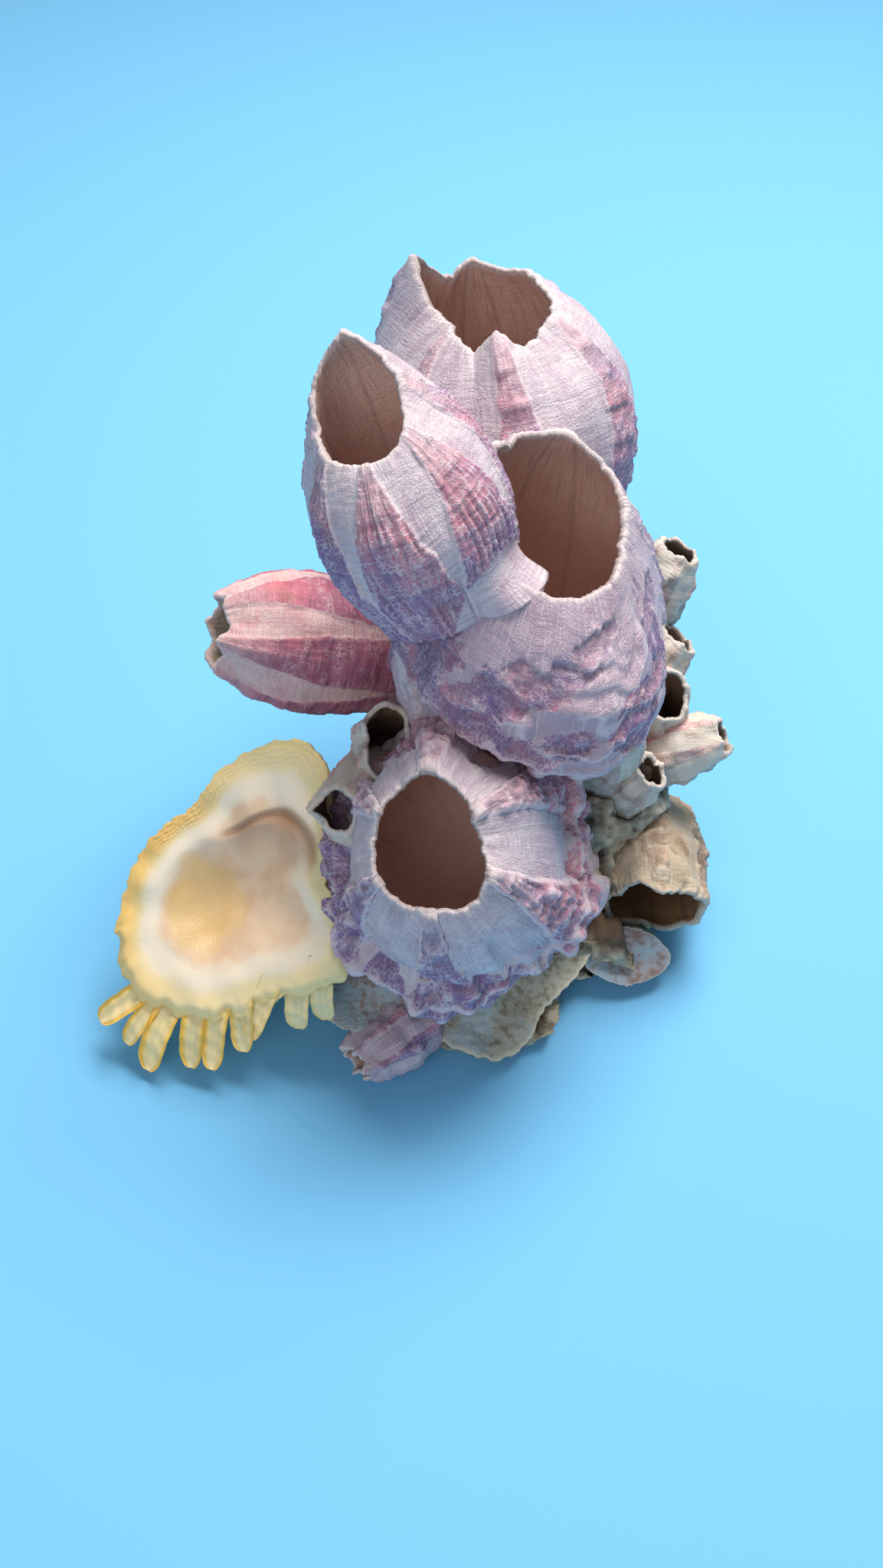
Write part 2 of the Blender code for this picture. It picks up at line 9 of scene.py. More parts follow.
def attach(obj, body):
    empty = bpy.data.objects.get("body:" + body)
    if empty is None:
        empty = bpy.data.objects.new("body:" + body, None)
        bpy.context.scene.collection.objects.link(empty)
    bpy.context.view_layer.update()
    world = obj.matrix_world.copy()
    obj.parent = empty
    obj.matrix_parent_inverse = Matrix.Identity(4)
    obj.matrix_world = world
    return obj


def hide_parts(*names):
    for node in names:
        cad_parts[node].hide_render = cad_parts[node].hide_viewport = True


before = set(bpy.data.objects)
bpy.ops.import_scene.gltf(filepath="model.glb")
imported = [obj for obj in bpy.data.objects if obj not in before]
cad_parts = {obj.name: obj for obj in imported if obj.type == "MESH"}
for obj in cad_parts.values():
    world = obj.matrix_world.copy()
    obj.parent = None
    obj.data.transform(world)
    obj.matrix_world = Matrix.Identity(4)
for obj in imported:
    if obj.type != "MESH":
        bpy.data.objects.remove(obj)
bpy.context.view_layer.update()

# Floor and light: a plain pale blue sheet under one large soft lamp, hung overhead a little to
# the back and the right, with a weak lamp in front. The sheet throws its blue up under the shells.
MM = 0.001


def paint(red, green, blue):
    """A colour given as it looks, from 0 to 255, in the linear values that a shader takes."""
    shares = (red / 255, green / 255, blue / 255)
    return tuple(((v + 0.055) / 1.055) ** 2.4 if v > 0.04 else v / 12.92 for v in shares)


def put_in(name, data):
    """An object of a mesh, a lamp or a camera, put in the scene."""
    made = bpy.data.objects.new(name, data)
    bpy.context.scene.collection.objects.link(made)
    return made


FLOOR_HALF = 2.0
FLOOR_COLOUR = paint(118, 190, 234)
floor_data = bpy.data.meshes.new("floor")
floor_corners = [(x * FLOOR_HALF, y * FLOOR_HALF, 0) for x, y in ((-1, -1), (1, -1), (1, 1), (-1, 1))]
floor_data.from_pydata(floor_corners, [], [(0, 1, 2, 3)])
floor = put_in("floor", floor_data)
floor_paint = bpy.data.materials.new("floor_paint")
floor_paint.use_nodes = True
floor_shader = floor_paint.node_tree.nodes["Principled BSDF"]
floor_shader.inputs["Base Color"].default_value = (*FLOOR_COLOUR, 1)
floor_shader.inputs["Roughness"].default_value = 0.9
floor_data.materials.append(floor_paint)


def lamp(name, place, aim, size, power, colour):
    """A square soft lamp at a place, turned to a point, both in metres."""
    data = bpy.data.lights.new(name, "AREA")
    data.size = size
    data.energy = power
    data.color = colour
    made = put_in(name, data)
    made.location = place
    made.rotation_euler = (Vector(aim) - Vector(place)).to_track_quat("-Z", "Y").to_euler()


lamp("overhead_lamp", (0.14, 0.20, 0.60), (0, 0, 0.05), 0.36, 6.0, (1.0, 0.97, 0.93))
lamp("front_lamp", (-0.25, -0.65, 0.45), (0, 0, 0.05), 0.5, 1.7, (0.96, 0.97, 1.0))

sky = bpy.data.worlds.new("studio")
sky.use_nodes = True
sky.node_tree.nodes["Background"].inputs["Color"].default_value = (0.78, 0.88, 1.0, 1)
sky.node_tree.nodes["Background"].inputs["Strength"].default_value = 0.26
bpy.context.scene.world = sky
bpy.context.scene.view_settings.view_transform = "Standard"

# Camera: in front of the cluster and above it, looking down at 48 degrees from 240 mm away, with
# a lens as wide as a phone's.
CAMERA_AIM = Vector((4.28, -33.41, 62.0)) * MM
CAMERA_REACH = 0.240
CAMERA_DROP = math.radians(48)
LENS = 36
looking = Vector((0, math.cos(CAMERA_DROP), -math.sin(CAMERA_DROP)))
camera = put_in("camera", bpy.data.cameras.new("camera"))
camera.data.lens = LENS
camera.data.sensor_width = LENS
camera.data.clip_start = 0.001
camera.location = CAMERA_AIM - looking * CAMERA_REACH
camera.rotation_euler = looking.to_track_quat("-Z", "Y").to_euler()
bpy.context.scene.camera = camera

# Large barnacles: four old acorn barnacles, each a bulging cup of six limy plates that the animal
# laid down ring by ring. The plates are mauve, ribbed and worn white, and the smooth strips
# between them are pale. Each was cemented by its foot to what it settled on.

# Places are measured before the cluster is centred, and this brings them over the origin.
SHIFT = np.array((0.282, -1.91, 0.0))
# Width of a plate at the mouth as a share of its width at the foot, and how far it stands proud
# of the strips as a share of the belly's radius.
PLATE_TIP = 0.26
PLATE_STEP = 0.05
# Share of the height above which the rim is chipped in height, is notched inwards and outwards,
# and bears no marks of growth, and the share that the apron at the foot takes up.
RAGGED_FROM = 0.96
NOTCHED_FROM = 0.92
MARKED_TO = 0.93
APRON_HEIGHT = 0.16
# Depth of the notches as a share of the wall's thickness at the mouth.
NOTCH_DEPTH = 0.75
# The floor's rings, as shares of the way out from its middle, and its dip as a share of the belly.
FLOOR_RINGS = (0.85, 0.6, 0.35, 0.12)
FLOOR_DIP = 0.06
# How far the rim's rounded middle stands up and its inner edge lies down, as shares of the wall's
# thickness at the mouth.
LIP_RISE = 0.22
LIP_DROP = 0.15
# Height of the ridge along a plate's edge and of the lines on the strips, depth of the seams in
# the hollow, and the span of heights that the colours tell apart, all in millimetres.
RIDGE_HEIGHT = 0.16
STRIP_LINES = 0.07
SEAM_DEPTH = 0.35
MARK_SPAN = 0.9
# Direction and half width in degrees of each plate of a barnacle that has even ones.
EVEN_PLATES = ((30, 22), (90, 24), (150, 22), (210, 22), (270, 24), (330, 22))


@dataclass(frozen=True)
class Barnacle:
    """A barnacle's shape in millimetres and degrees, and how deep the marks of its growth are."""

    name: str
    # The middle of the foot and of the mouth, and the radius at foot, belly, shoulder and mouth.
    foot: tuple
    mouth: tuple
    radii: tuple
    # Direction and half width of each plate, how far its tip stands up and how proud its face is.
    plates: tuple = EVEN_PLATES
    teeth: tuple = (1.5, 1.0, 1.5, 1.0, 1.2, 1.0)
    proud: tuple = (1, 1, 1, 1, 1, 1)
    # Growth edges: share of the height, step out below it, direction and half spread, and the
    # share over which each steps out.
    ledges: tuple = ()
    ledge_slope: float = 0.035
    # Rise of one side of the mouth and its direction; ovalness at foot and mouth, and long way.
    tilt: tuple = (0.0, 90.0)
    oval: tuple = (0.0, 0.0, 90.0)
    # Thickness of the wall at the mouth and low down, and the floor of the hollow.
    wall: tuple = (0.8, 3.0)
    floor: float = 0.2
    lumps: float = 0.8
    # Depth of the ribs down a plate, of the fine lines across it, of its roughness, of the
    # overlapping growth edges, and the distance between those.
    ribs: float = 0.25
    lines: float = 0.12
    rough: float = 0.3
    edges: float = 0.35
    spacing: float = 4.5
    # Low apron: how far it spreads and drops, its direction and half spread. Bare white foot: the
    # share of the height that it reaches, its direction and half spread.
    apron: tuple = (0.0, 0.0, 0.0, 60.0)
    bare: tuple = (0.0, 0.0, 60.0)
    # Direction of the rosiest side, and how rosy the shell is in all.
    rosy: tuple = (60.0, 0.5)
    # How late a plate narrows towards the mouth.
    taper: float = 1.0
    # Wide peaks of the mouth's edge: direction, height and half width.
    peaks: tuple = ()
    # How unevenly the plates' edges run, how many ribs fan out on each half of a plate, and how
    # lumpy the lower half is.
    uneven: float = 1.0
    fan: float = 7.0
    knobs: float = 0.0
    # Changes of the radius in twelve directions, at the mouth and above the growth edge halfway.
    mouth_shape: tuple = (0.0,) * 12
    crown: tuple = (0.0,) * 12
    # Worn or overgrown areas: direction, share of the height, both half sizes, 1 plate or 0 strip.
    patches: tuple = ()
    # How far the strips take the tint, and the side where they do most.
    veil: tuple = (0.15, 90.0)


def profile(values, share):
    """The smooth curve through evenly spaced values, read at shares of its length."""
    last = len(values) - 1
    total = 0.0
    for i, value in enumerate(values):
        weight = 1.0
        for j in range(last + 1):
            if j != i:
                weight = weight * (share * last - j) / (i - j)
        total = total + value * weight
    return total


def axes_of(barnacle):
    """The barnacle's foot, length and three directions: across, back and along its axis."""
    foot = Vector(barnacle.foot)
    along = Vector(barnacle.mouth) - foot
    length = along.length
    along.normalize()
    start = Vector((1, 0, 0)) if abs(along.x) < 0.8 else Vector((0, 1, 0))
    across = (start - along * along.dot(start)).normalized()
    return np.array(foot), length, np.array(across), np.array(along.cross(across)), np.array(along)


def place_on(barnacle, angle, radius, height):
    """Points at an angle, a distance from the barnacle's axis and a height along it."""
    foot, _, across, back, along = axes_of(barnacle)
    turn = np.radians(angle)[..., None]
    way = np.cos(turn) * across + np.sin(turn) * back
    return foot + way * radius[..., None] + along * height[..., None]


def grain_of(barnacle, angle, height):
    """Where the noise of a wall is read: round the belly and up the wall."""
    belly = barnacle.radii[1]
    turn = np.radians(angle)
    return np.stack([np.cos(turn) * belly, np.sin(turn) * belly, height], -1)


def lumpy(points, size):
    """Smooth noise from -1 to 1 at an array of points, with lumps of a size or a size each way.
    A number added to the points gives other lumps of the same kind."""
    flat = (points / np.array(size)).reshape(-1, 3).tolist()
    return np.array([noise.noise(point) for point in flat]).reshape(points.shape[:-1])


def turn_between(a, b):
    """Signed smaller angle from b to a in degrees."""
    return (a - b + 180) % 360 - 180


def hump(angle, towards, half):
    """1 in a direction, falling to 0 at half a spread to both sides of it."""
    return np.maximum(0.0, 1 - (turn_between(angle, towards) / half) ** 2)


def rise_over(value, low, high):
    """0 below low, 1 above high and a smooth rise between."""
    share = np.clip((value - low) / (high - low), 0, 1)
    return share * share * (3 - 2 * share)


def round_curve(values, angle):
    """A smooth closed curve through evenly spaced values, read in each direction."""
    values = np.array(values)
    count = len(values)
    place = angle % 360 * count / 360
    start = np.floor(place).astype(int)
    share = place - start
    before, a, b, after = (values[(start + k) % count] for k in (-1, 0, 1, 2))
    bend = (2 * before - 5 * a + 4 * b - after) * share**2
    twist = (3 * (a - b) + after - before) * share**3
    return a + 0.5 * ((b - before) * share + bend + twist)


def bare_radius(barnacle, angle, share):
    """Radius of the wall without plates or marks."""
    low_oval, high_oval, long_way = barnacle.oval
    oval = low_oval + (high_oval - low_oval) * share
    radius = profile(barnacle.radii, share) * (1 + oval * np.cos(np.radians(2 * (angle - long_way))))
    radius = radius + round_curve(barnacle.mouth_shape, angle) * np.clip(share, 0, 1.1) ** 4
    return radius + round_curve(barnacle.crown, angle) * rise_over(share, 0.5, 0.56)


def plate_marks(barnacle, angle, share, waver):
    """The mask of the plates, their relief, the mask of their edges, and where each place lies
    across its plate, from -1 to 1."""
    narrowed = 1 - (1 - PLATE_TIP) * np.clip(share, 0, 1) ** barnacle.taper
    mask = np.zeros_like(angle)
    relief = np.zeros_like(angle)
    border = np.zeros_like(angle)
    fan = np.zeros_like(angle)
    for (middle, half), proud in zip(barnacle.plates, barnacle.proud):
        signed = turn_between(angle, middle) / (half * narrowed)
        fan = np.where(np.abs(signed) < 1.6, signed, fan)
        place = np.abs(signed) + waver
        inside = rise_over(-place, -1.05, -0.93)
        mask = np.maximum(mask, inside)
        relief = np.maximum(relief, inside * proud * (1.15 - 0.15 * np.minimum(place, 1) ** 2))
        border = np.maximum(border, np.exp(-(((place - 0.99) * half * narrowed / 1.1) ** 2)))
    return mask, relief, border, fan


def rim_height(barnacle, length, angle, ragged=True):
    """Height of the mouth's edge: tilted, with a tooth over each plate, and chipped."""
    raised, towards = barnacle.tilt
    height = length + raised * np.cos(np.radians(angle - towards))
    teeth = [(middle, tooth, half) for (middle, half), tooth in zip(barnacle.plates, barnacle.teeth)]
    for middle, tip, half in (*teeth, *barnacle.peaks):
        height = height + tip * np.maximum(0.0, 1 - np.abs(turn_between(angle, middle)) / half)
    if not ragged:
        return height
    turn = np.radians(angle)
    around = np.stack([np.cos(turn), np.sin(turn), turn * 0], -1) * barnacle.radii[3]
    chips = np.maximum(0.0, lumpy(around + 31, 1.7) - 0.25)
    return height + 0.2 * lumpy(around, 1.3) + 0.12 * lumpy(around + 7, 0.4) - 1.5 * chips


def ledge_step(barnacle, angle, share, waver):
    """How far the wall is stepped out by the ledges above a point, fading towards the foot, and
    where their worn edges are."""
    total = np.zeros_like(angle)
    worn = np.zeros_like(angle)
    for edge, step, towards, half in barnacle.ledges:
        below = np.clip((edge + waver - share) / barnacle.ledge_slope + 0.5, 0, 1)
        spread = hump(angle, towards, half)
        total = total + step * below * spread * np.sqrt(share / edge)
        if step > 0:
            worn = np.maximum(worn, spread * np.exp(-(((share - edge - waver + 0.03) / 0.014) ** 2)))
    return total, worn


def keep_field(data, name, values):
    """Keeps one number or three for each point of a mesh, for its finish to read."""
    values = values.reshape(len(data.vertices), -1).astype(np.float32)
    kind, key = ("FLOAT_VECTOR", "vector") if values.shape[1] == 3 else ("FLOAT", "value")
    data.attributes.new(name, kind, "POINT").data.foreach_set(key, values.ravel())


def shell_object(name, rings, fields):
    """One closed object from rings of points in millimetres, each field kept as an attribute."""
    count, turns, _ = rings.shape
    points = rings.reshape(-1, 3)
    ends = np.stack([rings[0].mean(0), rings[-1].mean(0)])
    points = (np.concatenate([points, ends]) + SHIFT) * MM
    step = np.arange(turns)
    after = (step + 1) % turns
    lower = (np.arange(count - 1) * turns)[:, None]
    quads = np.stack([lower + step, lower + after, lower + turns + after, lower + turns + step], -1)
    first, last = count * turns, count * turns + 1
    top = (count - 1) * turns
    faces = quads.reshape(-1, 4).tolist()
    faces += [(b, a, first) for a, b in zip(step.tolist(), after.tolist())]
    faces += [(top + a, top + b, last) for a, b in zip(step.tolist(), after.tolist())]
    data = bpy.data.meshes.new(name)
    data.from_pydata(points.tolist(), [], faces)
    for label, values in fields.items():
        closing = [values[end].reshape(turns, -1).mean(0)[None] for end in (0, -1)]
        keep_field(data, label, np.concatenate([values.reshape(count * turns, -1), *closing]))
    data.shade_smooth()
    return put_in(name, data)


def outward(points):
    """Directions square to a wall's grid of points."""
    around = np.roll(points, -1, 1) - np.roll(points, 1, 1)
    straight = np.cross(around, np.gradient(points, axis=0))
    return straight / np.maximum(np.linalg.norm(straight, axis=-1, keepdims=True), 1e-9)


def pressed(points, standing):
    """Points that would stand in the hollow of another barnacle, moved out into its wall."""
    # Only points up to this share of a barnacle's height and widest radius are looked at.
    near_by = 1.3
    shape = points.shape
    points = points.reshape(-1, 3).copy()
    for other in standing:
        foot, length, across, back, along = axes_of(other)
        apart = points - foot
        height = apart @ along
        x, y = apart @ across, apart @ back
        radius = np.hypot(x, y)
        angle = np.degrees(np.arctan2(y, x))
        beside = (height > 0) & (height < near_by * length) & (radius < near_by * max(other.radii))
        near = np.flatnonzero(beside)
        if not len(near):
            continue
        height, radius, angle = height[near], radius[near], angle[near]
        share = height / rim_height(other, length, angle, ragged=False)
        turn = np.radians(angle)[:, None]
        way = np.cos(turn) * across + np.sin(turn) * back
        wall = bare_radius(other, angle, np.clip(share, 0, 1))
        place = place_on(other, angle, wall, height)
        thin, thick = other.wall
        depth = np.clip((1 - share) / (1 - other.floor), 0, 1)
        middle = wall + other.lumps * lumpy(place, other.radii[1] * 0.5)
        middle = middle - 0.5 * (thin + (thick - thin) * depth)
        inside = (share > other.floor * 0.8) & (share < 1) & (radius < middle)
        points[near[inside]] += (way * (middle - radius)[:, None])[inside]
    return points.reshape(shape)


def patched(barnacle, angle, share, grain, plate, border):
    """The masks of the plates and of their edges, with the worn and overgrown areas put in."""
    for direction, level, half, reach, kind in barnacle.patches:
        away = np.hypot(turn_between(angle, direction) / half, (share - level) / reach)
        away = away + 0.45 * lumpy(grain + 80, 5.0) + 0.3 * lumpy(grain, (1.6, 1.6, 2.6))
        away = away + 0.15 * lumpy(grain, 0.7)
        over_it = 1 - rise_over(away, 0.85, 1.05)
        border = np.maximum(border * (1 - over_it), np.exp(-(((away - 0.97) * 8) ** 2)) * 0.7)
        plate = plate + (kind - plate) * over_it
    return plate, border


def covered_part(barnacle, angle, share, grain):
    """1 where the shell has its colours and marks, and 0 on its bare foot."""
    reach, direction, half = barnacle.bare
    line = reach * hump(angle, direction, half)
    line = line + 0.03 * lumpy(grain, 4.0) * (line > 0)
    return np.where(line > 0, rise_over(share - line, -0.012, 0.012), 1.0)


def growth_marks(barnacle, share, grain, plate, border, fan, covered):
    """How far the marks of growth stand out, and how high each place stands among them. They stand
    on the plates and are faint on the strips. A growth edge rises slowly towards the mouth and
    then steps back."""
    soft = 1 - np.clip((share - MARKED_TO) / (1 - MARKED_TO), 0, 1)
    ribs = np.sin(fan * barnacle.fan * np.pi + 2.5 * lumpy(grain, 5.0)) * (0.6 + 0.8 * lumpy(grain, 4.0))
    ribs = 0.5 * ribs + 0.7 * lumpy(grain, (0.9, 0.9, 14.0)) + 0.4 * lumpy(grain + 9, (0.45, 0.45, 5.0))
    lines = lumpy(grain, (5.0, 5.0, 0.55)) + 0.5 * lumpy(grain + 5, (2.0, 2.0, 0.3))
    rough = lumpy(grain, 2.6) + 0.6 * lumpy(grain + 3, 1.1) + 0.3 * lumpy(grain + 17, 0.55)
    step = (grain[..., 2] + 2.2 * lumpy(grain, 8.0) + 0.7 * lumpy(grain, 2.0)) / barnacle.spacing
    step = step - np.floor(step)
    stepped = step - rise_over(step, 0.88, 1.0)
    worn = plate * (0.4 + 0.6 * soft)
    marks = worn * (barnacle.ribs * ribs + barnacle.lines * lines + barnacle.rough * rough)
    marks = marks - (0.25 + 0.75 * plate) * soft * barnacle.edges * stepped
    ridge = RIDGE_HEIGHT * border * soft
    crest = np.clip(0.5 + (marks * covered + ridge) / MARK_SPAN, 0, 1)
    marks = (marks + 0.5 * barnacle.edges) * covered + (1 - plate) * STRIP_LINES * lines + ridge
    return marks, crest


def hollow_wall(barnacle, rows, angle, rim, notches):
    """Rings down the hollow, and their depth, share of the height, masks and grain."""
    length = axes_of(barnacle)[1]
    thin, thick = barnacle.wall
    depth, angle = np.broadcast_arrays(np.linspace(0, 1, rows + 1)[:, None], angle)
    share = 1 - depth * (1 - barnacle.floor)
    radius = bare_radius(barnacle, angle, share) - (thin + (thick - thin) * depth)
    height = rim - LIP_DROP * thin + (barnacle.floor * length - rim) * depth
    grain = grain_of(barnacle, angle, height)
    plate, _, border, _ = plate_marks(barnacle, angle, share, 0.05 * lumpy(grain, 4.0))
    place = place_on(barnacle, angle, radius, height)
    radius = radius + barnacle.lumps * lumpy(place, barnacle.radii[1] * 0.5) * (1 - depth)
    radius = radius + SEAM_DEPTH * border * np.sin(np.pi * depth)
    radius = radius + notches * (1 - rise_over(depth, 0.0, 0.14))
    return place_on(barnacle, angle, radius, height), depth, share, plate, border, grain


def barnacle_piece(barnacle, turns, rows, hollow_rows, standing=()):
    """The shell as a fine mesh: wall from foot to mouth, rim, hollow and floor."""
    foot, length, _, _, along = axes_of(barnacle)
    belly = barnacle.radii[1]
    angle, share = np.meshgrid(np.arange(turns) * 360 / turns, np.linspace(0, 1, rows + 1))
    rim = rim_height(barnacle, length, angle)
    smooth_rim = rim_height(barnacle, length, angle, ragged=False)
    height = smooth_rim * share + (rim - smooth_rim) * rise_over(share, RAGGED_FROM, 1.0)
    grain = grain_of(barnacle, angle, height)
    waver = barnacle.uneven * (0.10 * lumpy(grain, 3.5) + 0.06 * lumpy(grain, 1.2))
    plate, relief, border, fan = plate_marks(barnacle, angle, share, waver)
    plate, border = patched(barnacle, angle, share, grain, plate, border)
    radius = bare_radius(barnacle, angle, share)
    radius = radius + relief * PLATE_STEP * belly * (1 - 0.5 * share)
    waver = 0.09 * lumpy(grain, 7.0) + 0.03 * lumpy(grain, 2.2)
    ledges, ledge_edges = ledge_step(barnacle, angle, share, waver)
    radius = radius + ledges
    border = np.maximum(border, ledge_edges)

    # From here on, the grain goes by the length of the wall instead of its height.
    climb = np.hypot(np.diff(radius, axis=0), np.diff(height, axis=0))
    grain[1:, :, 2] = np.cumsum(climb, axis=0)
    knobs = lumpy(grain + 60, 5.5) + 0.5 * lumpy(grain, 2.6)
    radius = radius + barnacle.knobs * knobs * rise_over(-share, -0.58, -0.5)
    spread, drop, towards, half = barnacle.apron
    low = np.clip(1 - share / APRON_HEIGHT, 0, 1)
    radius = radius + spread * hump(angle, towards, half) * low**1.6
    height = height - drop * low
    # The thin rim is chipped and doesn't run round evenly.
    rim_grain = grain[:1] * np.array((1, 1, 0)) * barnacle.radii[3] / belly
    notches = 0.8 * lumpy(rim_grain, 1.7) + 0.4 * lumpy(rim_grain + 9, 0.6) + lumpy(rim_grain + 25, 4.0)
    notches = NOTCH_DEPTH * barnacle.wall[0] * notches
    radius = radius + notches * rise_over(share, NOTCHED_FROM, 1.0)
    radius = radius + barnacle.lumps * lumpy(place_on(barnacle, angle, radius, height), belly * 0.5)
    covered = covered_part(barnacle, angle, share, grain)
    marks, crest = growth_marks(barnacle, share, grain, plate, border, fan, covered)
    outer = place_on(barnacle, angle, radius, height)
    outer = outer + outward(outer) * marks[..., None]

    hollow = hollow_wall(barnacle, hollow_rows, angle[:1], rim[:1], notches)
    inner, depth, inner_share, inner_plate, inner_border, inner_grain = hollow
    lip = (outer[-1] + inner[0]) / 2 + along * LIP_RISE * barnacle.wall[0]
    shares = np.array(FLOOR_RINGS)[:, None, None]
    middle = foot + along * barnacle.floor * length
    ground = middle + (inner[-1] - middle) * shares - along * (1 - shares**2) * FLOOR_DIP * belly
    rings = pressed(np.concatenate([outer, lip[None], inner, ground]), standing)

    def over(wall, edge, inside, below):
        """A field's values over the wall, rim, hollow and floor."""
        edge = np.broadcast_to(edge, (1, turns))
        return np.concatenate([wall, edge, inside, np.broadcast_to(below, (len(FLOOR_RINGS), turns))])

    strength, direction = barnacle.veil
    veil = 0.6 + 0.4 * np.cos(np.radians(angle - direction)) + 0.2 * lumpy(grain, 7.0)
    veil = strength * veil * covered
    direction, rosiness = barnacle.rosy
    rosy = rosiness + 0.45 * np.cos(np.radians(angle - direction)) + 0.3 * lumpy(grain, 9.0)
    # The plates grow rosier towards the mouth and more plum-blue low down: partly the shell's own colour,
    # partly a painted reflection of the blue floor.
    rosy = np.clip(rosy + 0.35 * (share - 0.5), 0, 1)
    fields = {
        "plate": over(plate * covered, 0, inner_plate, 0),
        "border": over(border, 0, inner_border, 0),
        "rise": over(share, 1, inner_share, barnacle.floor),
        "crest": over(crest, 0.8, np.full(depth.shape, 0.5), 0.5),
        "hollow": over(share * 0, 0.15, rise_over(depth, -0.02, 0.03), 1),
        "rosy": over(rosy, rosy[-1:], np.broadcast_to(rosy[-1:], depth.shape), 0.5),
        "veil": over(veil, veil[-1:], np.zeros(depth.shape), 0),
        "grain": np.concatenate([grain, grain[-1:], inner_grain, inner_grain[-1] * shares]),
    }
    return shell_object(barnacle.name.replace("_barnacle", "") + "_shell", rings, fields)


def plug(tree, socket, value):
    """Sets a socket to a value or a colour, or links another node's output to it."""
    if isinstance(value, bpy.types.NodeSocket):
        tree.links.new(value, socket)
    else:
        socket.default_value = (*value, 1) if socket.type == "RGBA" else value


def add(tree, kind, **sockets):
    """A shader node with its named sockets plugged."""
    made = tree.nodes.new("ShaderNode" + kind)
    for name, value in sockets.items():
        plug(tree, made.inputs[name.replace("_", " ")], value)
    return made


def field(tree, name, vector=False):
    """The output of an attribute that the mesh carries."""
    made = tree.nodes.new("ShaderNodeAttribute")
    made.attribute_name = name
    return made.outputs["Vector" if vector else "Fac"]


def sums(tree, operation, *values, kind="Math"):
    """One arithmetic node over one, two or three values, or vectors with the kind VectorMath."""
    made = tree.nodes.new("ShaderNode" + kind)
    made.operation = operation
    for socket, value in zip(made.inputs, values):
        plug(tree, socket, value)
    return made.outputs[0]


def between(tree, value, low, high, start=0.0, end=1.0):
    """A value spread from start to end while another goes from low to high, and held outside."""
    made = add(tree, "MapRange", Value=value, From_Min=low, From_Max=high, To_Min=start, To_Max=end)
    made.interpolation_type = "SMOOTHSTEP"
    return made.outputs["Result"]


def blended(tree, share, first, second):
    """A colour between two colours or outputs."""
    made = tree.nodes.new("ShaderNodeMix")
    made.data_type = "RGBA"
    for socket, value in ((0, share), (6, first), (7, second)):
        plug(tree, made.inputs[socket], value)
    return made.outputs[2]


def node_group(name, inputs, output):
    """An empty shader group with its inputs and one output for a mask, and its two end nodes."""
    tree = bpy.data.node_groups.new(name, "ShaderNodeTree")
    for label, socket_type, default in inputs:
        socket = tree.interface.new_socket(label, in_out="INPUT", socket_type=socket_type)
        if default is not None:
            socket.default_value = default
    tree.interface.new_socket(output, in_out="OUTPUT", socket_type="NodeSocketFloat")
    return tree, tree.nodes.new("NodeGroupInput"), tree.nodes.new("NodeGroupOutput")


# Lines drawn out along a shell: noise that is stretched round it or up it.
drawn_lines, given, result = node_group(
    "drawn_lines",
    (
        ("Grain", "NodeSocketVector", None),
        ("Around", "NodeSocketFloat", 1.0),
        ("Up", "NodeSocketFloat", 1.0),
        ("Detail", "NodeSocketFloat", 3.0),
    ),
    "Lines",
)
around, up = given.outputs["Around"], given.outputs["Up"]
pitch = add(drawn_lines, "CombineXYZ", X=around, Y=around, Z=up)
grain, detail = given.outputs["Grain"], given.outputs["Detail"]
stretched = sums(drawn_lines, "MULTIPLY", grain, pitch.outputs["Vector"], kind="VectorMath")
drawn = add(drawn_lines, "TexNoise", Vector=stretched, Scale=1.0, Detail=detail)
drawn_lines.links.new(drawn.outputs["Fac"], result.inputs["Lines"])

# The white net that wear leaves on a plate: thin lines between uneven cells that are longer up
# the plate than across it, broken up.
worn_net, given, result = node_group(
    "worn_net",
    (
        ("Grain", "NodeSocketVector", None),
        ("Cells", "NodeSocketFloat", 1.0),
        ("Width", "NodeSocketFloat", 0.12),
        ("Spread", "NodeSocketFloat", 0.5),
    ),
    "Mask",
)
grain = given.outputs["Grain"]
warp = add(worn_net, "TexNoise", Vector=grain, Scale=0.9, Detail=2.0)
warped = sums(worn_net, "MULTIPLY_ADD", warp.outputs["Color"], (1.6, 1.6, 1.6), grain, kind="VectorMath")
drawn_out = sums(worn_net, "MULTIPLY", warped, (1.5, 1.5, 0.65), kind="VectorMath")
cells = add(worn_net, "TexVoronoi", Vector=drawn_out, Scale=given.outputs["Cells"])
cells.feature = "DISTANCE_TO_EDGE"
thread = between(worn_net, cells.outputs["Distance"], 0.0, given.outputs["Width"], 1.0, 0.0)
patches = add(worn_net, "TexNoise", Vector=grain, Scale=0.35, Detail=3.0)
spread = sums(worn_net, "SUBTRACT", given.outputs["Spread"], 0.5)
patch = sums(worn_net, "ADD", patches.outputs["Fac"], spread)
patch = between(worn_net, patch, 0.42, 0.6)
worn_net.links.new(sums(worn_net, "MULTIPLY", thread, patch), result.inputs["Mask"])


def placed(tree, group, output, **sockets):
    """A shader group placed in a material, and its output."""
    made = tree.nodes.new("ShaderNodeGroup")
    made.node_tree = group
    for name, value in sockets.items():
        plug(tree, made.inputs[name], value)
    return made.outputs[output]


def new_finish(name):
    """An empty material, its tree and the places where its noise is read."""
    material = bpy.data.materials.new(name)
    material.use_nodes = True
    return material, material.node_tree, field(material.node_tree, "grain", vector=True)


def lines_at(tree, grain, *pitches):
    """Drawn lines, each with its pitch round the shell, its pitch up the shell and its detail."""
    return [
        placed(tree, drawn_lines, "Lines", Grain=grain, Around=around, Up=up, Detail=detail)
        for around, up, detail in pitches
    ]


def layered(tree, colour, *layers):
    """A colour with others laid over it in turn, each where its mask is."""
    for mask, over in layers:
        colour = blended(tree, mask, colour, over)
    return colour


